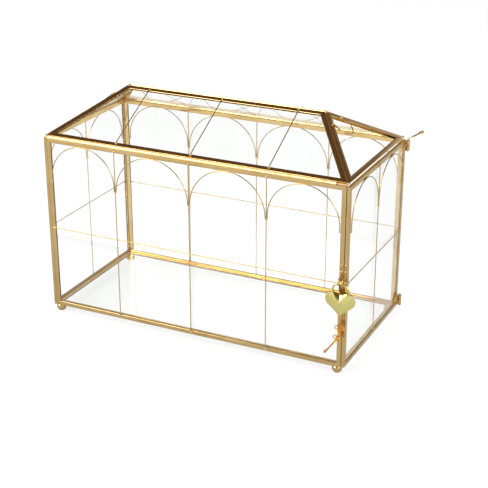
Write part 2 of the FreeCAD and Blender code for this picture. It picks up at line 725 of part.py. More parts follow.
def heart_outline(sketch, box, spread, radius, drop):
    """Heart of two round lobes and two straight sides that meet in a point, on the sketch's axes."""
    s, r, d = (box.size(alias) for alias in (spread, radius, drop))
    reach = math.hypot(s, d)
    lean = math.atan2(s, d) + math.asin(r / reach)
    side = math.sqrt(reach * reach - r * r)
    touch = Vector(side * math.sin(lean), side * math.cos(lean) - d)
    dip = math.sqrt(r * r - s * s)
    start_angle = math.atan2(touch.y, touch.x - s)
    end_angle = math.atan2(dip, -s)
    arcs = [Part.ArcOfCircle(Part.Circle(Vector(s, 0), Z_AXIS, r), start_angle, end_angle),
            Part.ArcOfCircle(Part.Circle(Vector(-s, 0), Z_AXIS, r), math.pi - end_angle, math.pi - start_angle)]
    tip = Vector(0, -d)
    lines = [Part.LineSegment(tip, touch), Part.LineSegment(Vector(-touch.x, touch.y), tip)]
    right, left, right_side, left_side = sketch.addGeometry(arcs + lines)
    rule = Sketcher.Constraint
    sketch.addConstraint(rule("PointOnObject", right, CENTRE, HORIZONTAL))
    sketch.addConstraint(rule("Symmetric", right, CENTRE, left, CENTRE, VERTICAL))
    sketch.addConstraint(rule("Coincident", right, END, left, START))
    sketch.addConstraint(rule("Coincident", left_side, END, right_side, START))
    sketch.addConstraint(rule("PointOnObject", right_side, START, VERTICAL))
    sketch.addConstraint(rule("Tangent", right_side, END, right, START))
    sketch.addConstraint(rule("Tangent", left, END, left_side, START))
    sketch.addConstraint(rule("Equal", right, left))
    dimension(sketch, "lobe", rule("Radius", right, r), "Sheet." + radius)
    dimension(sketch, "spread", rule("DistanceX", *ORIGIN_POINT, right, CENTRE, s), "Sheet." + spread)
    dimension(sketch, "drop", rule("DistanceY", right_side, START, *ORIGIN_POINT, d), "Sheet." + drop)


def cut_outline(sketch, points):
    """Plain polygon fixed where it is drawn."""
    first = polygon(sketch, points)
    for side in range(len(points)):
        sketch.addConstraint(Sketcher.Constraint("Block", first + side))


def shell_cuts(box):
    """Outlines of the two leg slots and the keyhole, in the heart's own plane."""
    leg, slot = box.size("shackle_radius"), box.size("leg_slot")
    top, cavity_top = box.size("lobe_radius") + 1, box.size("cavity_radius") / 2
    swing = box.size("lobe_radius") / 4
    right = [(leg - slot - swing, cavity_top), (leg + slot, cavity_top), (leg + slot, top), (leg - slot - swing, top)]
    near, far = box.size("pivot_eye") / 2, box.size("lobe_radius") * 1.6
    sector = [math.radians(angle) for angle in (78, 152)]
    left = [(-leg + reach * math.cos(angle), reach * math.sin(angle))
            for reach, angle in ((near, sector[0]), (far, sector[0]), (far, sector[1]), (near, sector[1]))]
    shank, bit = box.size("shank_diameter") / 2 + 0.1, box.size("bit_reach") + 0.2
    tip, inside = -box.size("heart_drop") - 1, -box.size("cavity_drop") + 2
    keyhole = [(-shank, tip), (bit, tip), (bit, inside), (-shank, inside)]
    return [right, left, keyhole]


def heart_shell(box, name, origin, front):
    """One pressed half of the heart, bevelled outside and hollow inside."""
    place = Placement(origin - Vector(0, 0, box.size("heart_level")), Rotation())
    body = new_body(box, name, place)
    outline = new_sketch(body, name + "_outline", "XZ_Plane")
    heart_outline(outline, box, "lobe_spread", "lobe_radius", "heart_drop")
    extrude(body, "Pad", outline, "Sheet.shell_rim", backwards=not front)
    sign = "" if front else "-"
    shoulder = new_sketch(body, name + "_shoulder", "XZ_Plane", lift=sign + "Sheet.shell_rim")
    heart_outline(shoulder, box, "lobe_spread", "lobe_radius", "heart_drop")
    crown = new_sketch(body, name + "_crown", "XZ_Plane", lift=sign + "Sheet.shell_depth")
    heart_outline(crown, box, "cavity_spread", "cavity_radius", "cavity_drop")
    bevel = body.newObject("PartDesign::AdditiveLoft", name + "_bevel")
    bevel.Profile = shoulder
    bevel.Sections = [crown]
    bevel.Ruled = True
    hollow = new_sketch(body, name + "_hollow", "XZ_Plane")
    heart_outline(hollow, box, "cavity_spread", "cavity_radius", "cavity_drop")
    extrude(body, "Pocket", hollow, "Sheet.cavity_depth", backwards=front)
    slots = new_sketch(body, name + "_slots", "XZ_Plane")
    for points in shell_cuts(box):
        cut_outline(slots, points)
    extrude(body, "Pocket", slots, "Sheet.leg_slot", backwards=front)
    socket = new_sketch(body, name + "_socket", "XZ_Plane")
    socket.addGeometry(Part.Circle(Vector(-box.size("shackle_radius"), 0), Z_AXIS, box.size("rivet_diameter") / 2))
    rule = Sketcher.Constraint
    socket.addConstraint(rule("PointOnObject", 0, CENTRE, HORIZONTAL))
    dimension(socket, "reach", rule("DistanceX", 0, CENTRE, *ORIGIN_POINT, box.size("shackle_radius")),
              "Sheet.shackle_radius")
    dimension(socket, "bore", rule("Radius", 0, box.size("rivet_diameter") / 2),
              "Sheet.rivet_diameter / 2 + Sheet.pin_clearance")
    extrude(body, "Pocket", socket, "Sheet.rivet_depth", backwards=front)
    return box.node(body)


def lock_inside(box, origin):
    """Pivot rivet across the case, and the latch that enters the free leg's notch."""
    heart = Placement(origin - Vector(0, 0, box.size("heart_level")), Rotation())
    start = Vector(-box.size("shackle_radius"), box.size("rivet_depth"), 0)
    box.node(rod(box, "lock_rivet", "Sheet.rivet_diameter / 2", "2 * Sheet.rivet_depth", start, -Y_AXIS, heart))
    arm, thick = box.size("latch_arm"), box.size("latch_thickness")
    tip_x = box.size("shackle_radius") - box.size("shackle_diameter") / 2 - 0.8
    low = box.size("notch_level") - arm / 2
    bar_x = tip_x - box.size("latch_reach")
    bar = block(box, "latch_bar", ("Sheet.latch_reach", "Sheet.latch_thickness", "Sheet.latch_arm"),
                Vector(bar_x, -thick / 2, low), heart)
    stem = block(box, "latch_stem_bar", ("Sheet.latch_width", "Sheet.latch_thickness", "Sheet.latch_stem"),
                 Vector(bar_x, -thick / 2, low - box.size("latch_stem")), heart)
    box.node(fuse(box, "lock_latch", [bar, stem]))


# Keys

def key(box, name, frame):
    """Small key: three-lobed bow, round shank and a flag bit; local z runs from the bow to the bit."""
    thick, spread = box.size("bow_thickness"), box.size("bow_spread")
    lobes, holes = [], []
    for index, (x, z) in enumerate(((-spread, 0), (spread, 0), (0, -spread))):
        centre = Vector(x, -thick / 2, z)
        for made, piece, radius in ((lobes, "lobe", "Sheet.bow_lobe"), (holes, "hole", "Sheet.bow_hole")):
            made.append(wire(box, "%s_%s_%d" % (name, piece, index), radius, "Sheet.bow_thickness", centre, Y_AXIS,
                             frame, BOW_SIDES))
    shank = rod(box, name + "_shank", "Sheet.shank_diameter / 2", "Sheet.shank_length", Vector(), Z_AXIS, frame)
    low = box.size("shank_length") - box.size("bit_height") - box.size("bow_hole") / 3
    bit = block(box, name + "_bit", ("Sheet.bit_reach", "Sheet.bit_thickness", "Sheet.bit_height"),
                Vector(0, -box.size("bit_thickness") / 2, low), frame)
    blank = fuse(box, name + "_blank", lobes + [shank, bit])
    return box.node(cut(box, name, blank, group(box, name + "_holes", holes)))


def key_set(box, origin):
    """The key in the lock, a ring through its bow and the spare key on the ring."""
    spread, hole = box.size("bow_spread"), box.size("bow_hole")
    thick, radius, slack = box.size("ring_wire") / 2, box.size("ring_radius"), box.size("ring_slack")
    bow = origin - Vector(0, 0, box.size("key_bow_level"))
    key(box, "key", Placement(bow, Rotation()))
    top = bow - Vector(0, 0, spread + hole - thick - slack)
    centre = top - Vector(0, 0, radius)
    box.node(ring(box, "key_ring", "Sheet.ring_radius", "Sheet.ring_wire / 2", centre, Rotation(Y_AXIS, 90)))
    hang = centre - Vector(0, 0, radius)
    turned = Rotation(Y_AXIS, 180 + box.size("spare_tilt"))
    hung = Vector(0, 0, -spread - hole + thick + slack)
    key(box, "spare_key", Placement(hang - turned.multVec(hung), turned))


def build():
    """Every piece of the card box, in order from the base upwards."""
    box = Box()
    faces = make_faces(box)
    for name, face in faces.items():
        channel_ring(box, name + "_channel", face)
        if name != "roof_right":
            pane(box, name + "_glass", face)
    for name, bays in (("front", 4), ("back", 4), ("left", 2), ("door", 2)):
        wires = Wirework(box, name, faces[name], bays)
        wires.uprights()
        wires.arches()
        wires.cross_wires()
    for name in ("roof_front", "roof_back"):
        slope_wires(box, name, faces[name])
    for name in ("roof_left", "roof_right"):
        apex_loop(box, name + "_loop", faces[name])
    solder_seams(box, faces)
    ball_feet(box)
    hinges(box, faces)
    origin = lock_eyes(box, faces)
    shackle(box, origin)
    heart_shell(box, "lock_front_shell", origin, front=True)
    heart_shell(box, "lock_back_shell", origin, front=False)
    lock_inside(box, origin)
    key_set(box, origin)
    box.doc.recompute()
    return box


def centre_on_table(box):
    """Move every sub-part so that the origin is under the middle of the whole box."""
    bounds = FreeCAD.BoundBox()
    for node in box.nodes:
        bounds.add(node.Shape.BoundBox)
    shift = Placement(Vector(-bounds.Center.x, -bounds.Center.y, -bounds.ZMin), Rotation())
    for node in box.nodes:
        node.Placement = shift.multiply(node.Placement)
    box.doc.recompute()


def check(box):
    """Stop if any object failed or any sub-part has no sound shape."""
    failed = [thing.Name for thing in box.doc.Objects if {"Invalid", "Error"} & set(thing.State)]
    unsound = [node.Label for node in box.nodes if node.Shape.isNull() or not node.Shape.isValid()]
    if failed or unsound:
        raise RuntimeError("failed %s, unsound %s" % (failed, unsound))


def write(box, folder="parts"):
    """One STEP file for each sub-part."""
    os.makedirs(folder, exist_ok=True)
    for node in box.nodes:
        node.Shape.exportStep(os.path.join(folder, node.Label + ".step"))


card_box = build()
centre_on_table(card_box)
check(card_box)
write(card_box)
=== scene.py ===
import logging
import math
from dataclasses import dataclass, field
from enum import Enum
from typing import Any, Iterator, Optional, Sequence

import bmesh
import bpy
from bmesh.types import BMesh
from bpy.types import Material, Mesh, Node, NodeSocket, NodeTree
from mathutils import Matrix, Vector


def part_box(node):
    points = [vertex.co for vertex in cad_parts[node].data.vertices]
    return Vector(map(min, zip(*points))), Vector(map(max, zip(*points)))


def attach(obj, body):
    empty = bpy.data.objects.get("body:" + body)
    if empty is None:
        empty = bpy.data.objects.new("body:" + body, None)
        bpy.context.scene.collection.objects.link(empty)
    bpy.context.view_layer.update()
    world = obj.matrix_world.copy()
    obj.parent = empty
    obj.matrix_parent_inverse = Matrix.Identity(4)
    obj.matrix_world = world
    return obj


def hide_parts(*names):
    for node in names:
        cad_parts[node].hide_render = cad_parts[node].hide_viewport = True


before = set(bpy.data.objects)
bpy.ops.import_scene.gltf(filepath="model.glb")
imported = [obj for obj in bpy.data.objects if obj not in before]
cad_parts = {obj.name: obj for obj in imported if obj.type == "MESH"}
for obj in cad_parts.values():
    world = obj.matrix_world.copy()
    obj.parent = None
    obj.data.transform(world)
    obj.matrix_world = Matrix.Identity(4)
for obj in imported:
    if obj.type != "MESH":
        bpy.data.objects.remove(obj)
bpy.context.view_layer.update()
LOG = logging.getLogger("card_box")
MM = 0.001
RIGHT, BACK, UP = Vector((1, 0, 0)), Vector((0, 1, 0)), Vector((0, 0, 1))
SIGNS = (-1, 1)
Path = list[Vector]
Outline = list[tuple[float, float]]


class Body(Enum):
    """Bodies of the frame that pieces ride on."""

    FRAME = "frame"
    DOOR = "door"
    SHACKLE = "shackle"
    CASE = "lock_case"
    KEY = "key"
    RING = "key_ring"
    SPARE = "spare_key"


class Slot(Enum):
    """Material slots of the record."""

    BRASS = "polished_brass"
    WIRE = "brass_wire"
    SOLDER = "solder"
    LOCK = "lock_brass"
    KEYS = "key_brass"
    GLASS = "clear_glass"


def body_of(side: str) -> Body:
    """Body that the pieces of a side ride on."""
    return Body.DOOR if side == "door" else Body.FRAME


def linear(hex_colour: str) -> tuple[float, float, float, float]:
    """Linear colour of an sRGB hex value.

    Args:
        hex_colour: Six hex digits with a leading hash.

    Returns:
        Red, green, blue and an alpha of 1.
    """
    parts = [int(hex_colour[i:i + 2], 16) / 255 for i in (1, 3, 5)]
    red, green, blue = (c / 12.92 if c <= 0.04045 else ((c + 0.055) / 1.055) ** 2.4 for c in parts)
    return red, green, blue, 1.0


WHITE = linear("#ffffff")


def add_node(tree: NodeTree, kind: str, inputs: Optional[dict[Any, Any]] = None, **settings: Any) -> Node:
    """Add a node with its settings, values and links.

    Args:
        tree: Node tree that takes the node.
        kind: Blender's name of the node type.
        inputs: Socket name or number to a value, or to the socket that feeds it.
        **settings: Properties of the node itself.

    Returns:
        The new node.
    """
    node = tree.nodes.new(kind)
    for name, value in settings.items():
        setattr(node, name, value)
    for key, value in (inputs or {}).items():
        if isinstance(value, NodeSocket):
            tree.links.new(value, node.inputs[key])
        else:
            node.inputs[key].default_value = value
    return node


def blank_material(name: str) -> tuple[Material, NodeTree]:
    """Start a node material.

    Args:
        name: Name of the material.

    Returns:
        The material and its empty tree.
    """
    made = bpy.data.materials.new(name)
    made.use_nodes = True
    made.node_tree.nodes.clear()
    return made, made.node_tree


# Finishes

@dataclass(frozen=True)
class Metal:
    """Bare metal with uneven polish: colour drift, cloudy roughness and a faint hand-worked ripple."""

    name: str
    colour: str
    deep: str
    smooth: float
    dull: float
    drift_mm: float
    ripple_mm: float
    ripple_height_mm: float
    ripple_share: float = 0.6
    cloud_low: float = 0.3
    cloud_high: float = 0.7

    def material(self) -> Material:
        """Build the material.

        Returns:
            A new node material on Object coordinates.
        """
        made, tree = blank_material(self.name)
        where = add_node(tree, "ShaderNodeTexCoord").outputs["Object"]
        drift = add_node(tree, "ShaderNodeTexNoise",
                         {"Vector": where, "Scale": 1 / (self.drift_mm * MM), "Detail": 3.0})
        polish = add_node(tree, "ShaderNodeMapRange",
                          {"Value": drift.outputs["Fac"], "From Min": self.cloud_low,
                           "From Max": self.cloud_high, "To Min": self.smooth, "To Max": self.dull})
        colour = add_node(tree, "ShaderNodeMix",
                          {"Factor": drift.outputs["Fac"], "A": linear(self.colour), "B": linear(self.deep)},
                          data_type="RGBA")
        ripple = add_node(tree, "ShaderNodeTexNoise",
                          {"Vector": where, "Scale": 1 / (self.ripple_mm * MM), "Detail": 2.0})
        bump = add_node(tree, "ShaderNodeBump",
                        {"Height": ripple.outputs["Fac"], "Strength": self.ripple_share,
                         "Distance": self.ripple_height_mm * MM})
        shader = add_node(tree, "ShaderNodeBsdfPrincipled",
                          {"Base Color": colour.outputs["Result"], "Metallic": 1.0,
                           "Roughness": polish.outputs["Result"], "Normal": bump.outputs["Normal"]})
        add_node(tree, "ShaderNodeOutputMaterial", {"Surface": shader.outputs["BSDF"]})
        return made


@dataclass(frozen=True)
class ClearGlass:
    """Drawn soda-lime sheet: clear and smooth, with the least green in its body and no dark shadow."""

    name: str
    colour: str
    tint: str
    ior: float
    drift_mm: float

    def material(self) -> Material:
        """Build the material.

        Returns:
            A new transmissive node material.
        """
        made, tree = blank_material(self.name)
        where = add_node(tree, "ShaderNodeTexCoord").outputs["Object"]
        drift = add_node(tree, "ShaderNodeTexNoise", {"Vector": where, "Scale": 1 / (self.drift_mm * MM)})
        colour = add_node(tree, "ShaderNodeMix",
                          {"Factor": drift.outputs["Fac"], "A": linear(self.colour), "B": linear(self.tint)},
                          data_type="RGBA")
        shader = add_node(tree, "ShaderNodeBsdfPrincipled",
                          {"Base Color": colour.outputs["Result"], "Roughness": 0.0, "IOR": self.ior,
                           "Transmission Weight": 1.0})
        clear = add_node(tree, "ShaderNodeBsdfTransparent", {"Color": linear(self.colour)})
        rays = add_node(tree, "ShaderNodeLightPath")
        mix = add_node(tree, "ShaderNodeMixShader",
                       {0: rays.outputs["Is Shadow Ray"], 1: shader.outputs["BSDF"],
                        2: clear.outputs["BSDF"]})
        add_node(tree, "ShaderNodeOutputMaterial", {"Surface": mix.outputs["Shader"]})
        return made


FINISHES = {
    # Polished cartridge brass, gold lacquered: near mirror with slow roll waves
    Slot.BRASS: Metal("polished_brass", "#e6cc96", "#c4a062", smooth=0.07, dull=0.17,
                      drift_mm=22.0, ripple_mm=9.0, ripple_height_mm=0.02),
    # Drawn brass wire: a little duller, with draw marks coarser than real ones, so that they show
    Slot.WIRE: Metal("drawn_brass_wire", "#d8c08c", "#b0925c", smooth=0.16, dull=0.3,
                     drift_mm=6.0, ripple_mm=1.2, ripple_height_mm=0.01),
    # Gold-plated soft solder: lumpy where it froze, soft shine
    Slot.SOLDER: Metal("gold_plated_solder", "#f2d8a0", "#dcb676", smooth=0.26, dull=0.4,
                       drift_mm=5.0, ripple_mm=2.8, ripple_height_mm=0.12),
    # Pressed lock brass: paler and greener, bright plated
    Slot.LOCK: Metal("pressed_lock_brass", "#efe6a0", "#dccb74", smooth=0.05, dull=0.12,
                     drift_mm=8.0, ripple_mm=5.0, ripple_height_mm=0.02),
    # Cast key brass: redder, slightly rough from the mould
    Slot.KEYS: Metal("cast_key_brass", "#ecba58", "#cf9238", smooth=0.15, dull=0.28,
                     drift_mm=4.0, ripple_mm=1.6, ripple_height_mm=0.05),
    # Clear drawn glass: all but unseen, with reflections weaker than real ones
    Slot.GLASS: ClearGlass("clear_drawn_glass", "#ffffff", "#fdfffe", ior=1.4, drift_mm=60.0),
}


# Meshes and node trees

def put_in_scene(name: str, data: Any) -> bpy.types.Object:
    """Make an object and link it to the scene.

    Args:
        name: Name of the object.
        data: Its mesh, light or camera.

    Returns:
        The object.
    """
    made = bpy.data.objects.new(name, data)
    bpy.context.scene.collection.objects.link(made)
    return made


def finish_piece(name: str, mesh: Mesh, body: Body, slot: Slot, nodes: Sequence[str] = ()) -> None:
    """Put a finished mesh in the scene, on its body and in place of its CAD nodes.

    Args:
        name: Name of the piece.
        mesh: Mesh with its place in its vertices, in metres.
        body: Body that it rides on.
        slot: Material slot of the record; not used.
        nodes: CAD nodes that it stands for.
    """
    piece = put_in_scene(name, mesh)
    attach(piece, body.value)
    if nodes:
        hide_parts(*nodes)
    LOG.info("%s: %d faces on %s", name, len(mesh.polygons), body.value)


def mesh_of(name: str, shape: BMesh, material: Material, smooth_deg: float) -> Mesh:
    """Turn a bmesh into a mesh with outward faces and sharp edges where it bends.

    Args:
        name: Name of the mesh.
        shape: The shape, freed here.
        material: Its only material.
        smooth_deg: Edges that bend more than this stay sharp.

    Returns:
        The mesh.
    """
    bmesh.ops.recalc_face_normals(shape, faces=shape.faces[:])
    for face in shape.faces:
        face.smooth = True
    for edge in shape.edges:
        if len(edge.link_faces) == 2:
            edge.smooth = edge.calc_face_angle(0.0) < math.radians(smooth_deg)
    made = bpy.data.meshes.new(name)
    shape.to_mesh(made)
    shape.free()
    made.materials.append(material)
    return made


def skin(shape: BMesh, rows: Sequence[Path], ring: bool = False) -> None:
    """Join closed rows of points with faces, each row to the next.

    Args:
        shape: Mesh that takes the faces.
        rows: Points of each row, in millimetres.
        ring: Whether the last row joins the first. If not, a face closes each end.
    """
    made = [[shape.verts.new(point * MM) for point in row] for row in rows]
    sides = len(made[0])
    for here, there in zip(made, made[1:] + (made[:1] if ring else [])):
        for k in range(sides):
            after = (k + 1) % sides
            shape.faces.new((here[k], here[after], there[after], there[k]))
    if not ring:
        shape.faces.new(made[0])
        shape.faces.new(made[-1])


def lathe(shape: BMesh, profile: Sequence[tuple[float, float]], place: Matrix, sides: int = 28,
          hollow: bool = False) -> None:
    """Turn a profile about the local Z axis into a closed solid.

    Args:
        shape: Mesh that takes the solid.
        profile: Radius and height of each step, ends on the axis left out.
        place: Where it goes, in millimetres.
        sides: Steps round the axis.
        hollow: Whether the profile is a closed loop, as for a tube.
    """
    turns = [2 * math.pi * k / sides for k in range(sides)]
    skin(shape, [[place @ Vector((radius * math.cos(a), radius * math.sin(a), height)) for a in turns]
                 for radius, height in profile], hollow)


def block(shape: BMesh, low: Vector, high: Vector, place: Matrix, ease: float) -> None:
    """Add a block with eased edges.

    Args:
        shape: Mesh that takes it.
        low: Lowest corner, in millimetres.
        high: Highest corner.
        place: Where it goes.
        ease: Width of the eased edges.
    """
    middle, size = (low + high) / 2, high - low
    made = bmesh.ops.create_cube(shape, size=1.0)
    edges = list(dict.fromkeys(edge for vert in made["verts"] for edge in vert.link_edges))
    for vert in made["verts"]:
        vert.co = Vector(vert.co[i] * size[i] + middle[i] for i in range(3))
    eased = bmesh.ops.bevel(shape, geom=edges, offset=ease, segments=2, affect="EDGES", profile=0.5)
    verts = set(eased["verts"]) | {vert for vert in made["verts"] if vert.is_valid}
    for vert in verts:
        vert.co = (place @ vert.co) * MM


def arc(centre: Vector, first: Vector, second: Vector, radius: float, start: float, end: float,
        count: int = 32) -> Path:
    """Points of an arc, ends included: first is the direction of 0 degrees and second that of 90."""
    angles = [math.radians(start + (end - start) * step / count) for step in range(count + 1)]
    return [centre + (first * math.cos(a) + second * math.sin(a)) * radius for a in angles]


def open_tree(name: str, sockets: Sequence[tuple[str, str]]) -> tuple[NodeTree, Node]:
    """Start a geometry node tree with named inputs.

    Args:
        name: Name of the tree.
        sockets: Name and socket type of each input after the geometry.

    Returns:
        The tree and its input node.
    """
    tree = bpy.data.node_groups.new(name, "GeometryNodeTree")
    tree.interface.new_socket("Geometry", in_out="INPUT", socket_type="NodeSocketGeometry")
    for label, kind in sockets:
        tree.interface.new_socket(label, in_out="INPUT", socket_type=kind)
    tree.interface.new_socket("Geometry", in_out="OUTPUT", socket_type="NodeSocketGeometry")
    return tree, add_node(tree, "NodeGroupInput")


def close_tree(tree: NodeTree, geometry: NodeSocket, material: NodeSocket) -> None:
    """End a tree in real faces, smooth shading and its material.

    Args:
        tree: Geometry node tree.
        geometry: Socket with its result.
        material: Socket with its material.
    """
    real = add_node(tree, "GeometryNodeRealizeInstances", {"Geometry": geometry})
    smooth = add_node(tree, "GeometryNodeSetShadeSmooth", {"Geometry": real.outputs["Geometry"]})
    coated = add_node(tree, "GeometryNodeSetMaterial",
                      {"Geometry": smooth.outputs["Geometry"], "Material": material})
    add_node(tree, "NodeGroupOutput", {"Geometry": coated.outputs["Geometry"]})


def wire_tree() -> NodeTree:
    """Tree that sweeps a round section along edges.

    Returns:
        The tree, with inputs Radius, Sides and Material.
    """
    tree, source = open_tree("drawn_wire", [("Radius", "NodeSocketFloat"), ("Sides", "NodeSocketInt"),
                                            ("Material", "NodeSocketMaterial")])
    line = add_node(tree, "GeometryNodeMeshToCurve", {"Mesh": source.outputs["Geometry"]})
    ring = add_node(tree, "GeometryNodeCurvePrimitiveCircle",
                    {"Resolution": source.outputs["Sides"], "Radius": source.outputs["Radius"]})
    swept = add_node(tree, "GeometryNodeCurveToMesh",
                     {"Curve": line.outputs["Curve"], "Profile Curve": ring.outputs["Curve"],
                      "Fill Caps": True})
    close_tree(tree, swept.outputs["Mesh"], source.outputs["Material"])
    return tree


def dot_tree(least: float = 0.85, most: float = 1.2) -> NodeTree:
    """Tree that puts a small uneven blob on every point.

    Args:
        least: Smallest stretch of a blob along an axis.
        most: Largest stretch.

    Returns:
        The tree, with inputs Size, Seed and Material.
    """
    tree, source = open_tree("solder_dots", [("Size", "NodeSocketFloat"), ("Seed", "NodeSocketInt"),
                                             ("Material", "NodeSocketMaterial")])
    blob = add_node(tree, "GeometryNodeMeshIcoSphere", {"Radius": source.outputs["Size"], "Subdivisions": 3})
    spread = add_node(tree, "FunctionNodeRandomValue",
                      {0: (least, least, least), 1: (most, most, most), "Seed": source.outputs["Seed"]},
                      data_type="FLOAT_VECTOR")
    placed = add_node(tree, "GeometryNodeInstanceOnPoints",
                      {"Points": source.outputs["Geometry"], "Instance": blob.outputs["Mesh"],
                       "Scale": spread.outputs[0]})
    close_tree(tree, placed.outputs["Instances"], source.outputs["Material"])
    return tree


def bake(tree: NodeTree, source: Mesh, values: dict[str, Any]) -> Mesh:
    """Run a tree on a mesh and keep the result as plain faces.

    Args:
        tree: Geometry node tree.
        source: Points or edges that it works on.
        values: Input name to value.

    Returns:
        The finished mesh.
    """
    carrier = put_in_scene(source.name, source)
    modifier = carrier.modifiers.new("tree", "NODES")
    modifier.node_group = tree
    for item in tree.interface.items_tree:
        if item.item_type == "SOCKET" and item.in_out == "INPUT" and item.name in values:
            modifier[item.identifier] = values[item.name]
    graph = bpy.context.evaluated_depsgraph_get()
    made = bpy.data.meshes.new_from_object(carrier.evaluated_get(graph), depsgraph=graph)
    carrier.modifiers.clear()
    bpy.data.objects.remove(carrier)
    made.name = source.name
    return made


def make_materials() -> dict[Slot, Material]:
    """One material for each slot."""
    return {slot: finish.material() for slot, finish in FINISHES.items()}


@dataclass
class Bench:
    """The trees and materials that every sub-assembly works with."""

    materials: dict[Slot, Material] = field(default_factory=make_materials)
    wire: NodeTree = field(default_factory=wire_tree)
    dots: NodeTree = field(default_factory=dot_tree)

    def wires(self, name: str, paths: Sequence[Path], radius: float, slot: Slot, closed: bool = False,
              sides: int = 14) -> Mesh:
        """Round wires along paths.

        Args:
            name: Name of the mesh.
            paths: Points of each wire, in millimetres.
            radius: Radius of the wire, in millimetres.
            slot: Slot of its material.
            closed: Whether each wire joins its own start.
            sides: Sides of the round section.

        Returns:
            One mesh with every wire.
        """
        points, edges = [], []
        for path in paths:
            first = len(points)
            points += [point * MM for point in path]
            edges += [(i, i + 1) for i in range(first, len(points) - 1)]
            if closed:
                edges.append((len(points) - 1, first))
        source = bpy.data.meshes.new(name)
        source.from_pydata(points, edges, [])
        return bake(self.wire, source,
                    {"Radius": radius * MM, "Sides": sides, "Material": self.materials[slot]})


# Sizes and places

@dataclass(frozen=True)
class Sizes:
    """Sizes of the box in millimetres, as in the frame."""

    length: float = 320.0
    depth: float = 150.0
    eave: float = 187.5
    rise: float = 38.3
    ridge: float = 209.0
    foot: float = 8.0
    channel: float = 4.4
    thick: float = 3.2
    gap: float = 0.3
    margin: float = 0.5
    wire: float = 1.0
    lap: float = 1.4
    dot: float = 0.85
    pitch: float = 80.0
    arch_rise: float = 39.8
    cross: float = 86.0

    @property
    def half_length(self) -> float:
        """Half the inner length."""
        return (self.length - 2 * self.thick - self.gap) / 2

    @property
    def half_depth(self) -> float:
        """Half the inner depth."""
        return self.depth / 2 - self.thick

    @property
    def wire_out(self) -> float:
        """Height of a wire's middle above the inner face of its side."""
        return self.thick + self.wire / 2

    @property
    def wire_end(self) -> float:
        """Distance of a wire's end from the outer edge of its side."""
        return self.channel - self.lap


@dataclass(frozen=True)
class Panel:
    """One flat side: its outline, with u along the bottom edge, v up the pane and w outwards."""

    base: Vector
    along: Vector
    up: Vector
    bottom: float
    top: float
    height: float

    @property
    def normal(self) -> Vector:
        """Direction out of the box."""
        return self.along.cross(self.up)

    def at(self, u: float, v: float, w: float) -> Vector:
        """A point of the panel in the frame, in millimetres."""
        return self.base + self.along * u + self.up * v + self.normal * w

    def corners(self) -> Outline:
        """Corners of the outline.

        Returns:
            Three or four points, counter-clockwise.
        """
        half, half_top = self.bottom / 2, self.top / 2
        if half_top:
            return [(-half, 0), (half, 0), (half_top, self.height), (-half_top, self.height)]
        return [(-half, 0), (half, 0), (0, self.height)]

    def inset(self, distance: float) -> Outline:
        """Corners moved in by a distance from every edge.

        Args:
            distance: How far, in millimetres.

        Returns:
            The moved corners in the same order.
        """
        moved = []
        points = [Vector(corner) for corner in self.corners()]
        for index, here in enumerate(points):
            arriving = (here - points[index - 1]).normalized()
            leaving = (points[(index + 1) % len(points)] - here).normalized()
            inward = Vector((-arriving.y - leaving.y, arriving.x + leaving.x))
            moved.append(tuple(here + inward * (distance / (1 + arriving.dot(leaving)))))
        return moved


def make_panels(sizes: Sizes) -> dict[str, Panel]:
    """Every flat side of the box.

    Args:
        sizes: Sizes of the box.

    Returns:
        Panel by name, placed where the frame has it.
    """
    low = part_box("front_channel")[0]
    half, deep, foot, eave = sizes.half_length, sizes.half_depth, sizes.foot, sizes.eave
    shift = Vector((low[0] / MM + half, low[1] / MM + sizes.depth / 2, 0))
    inset = half - sizes.ridge / 2
    slant, end = math.hypot(deep, sizes.rise), math.hypot(inset, sizes.rise)
    wall = eave - foot
    door_wide, door_high = sizes.depth - 2 * sizes.margin, wall - 2 * sizes.margin
    rows = {
        "front": ((0, -deep, foot), RIGHT, UP, 2 * half, 2 * half, wall),
        "back": ((0, deep, foot), -RIGHT, UP, 2 * half, 2 * half, wall),
        "left": ((-half, 0, foot), -BACK, UP, sizes.depth, sizes.depth, wall),
        "base": ((0, deep, foot + sizes.thick), RIGHT, -BACK, 2 * half, 2 * half, 2 * deep),
        "door": ((half + sizes.gap, 0, foot + sizes.margin), BACK, UP, door_wide, door_wide, door_high),
        "roof_front": ((0, -deep, eave), RIGHT, Vector((0, deep, sizes.rise)), 2 * half, sizes.ridge, slant),
        "roof_back": ((0, deep, eave), -RIGHT, Vector((0, -deep, sizes.rise)), 2 * half, sizes.ridge, slant),
        "roof_left": ((-half, 0, eave), -BACK, Vector((inset, 0, sizes.rise)), 2 * deep, 0, end),
        "roof_right": ((half, 0, eave), BACK, Vector((-inset, 0, sizes.rise)), 2 * deep, 0, end),
    }
    return {name: Panel(Vector(base) + shift, along, up.normalized(), *rest)
            for name, (base, along, up, *rest) in rows.items()}


# Sub-assemblies

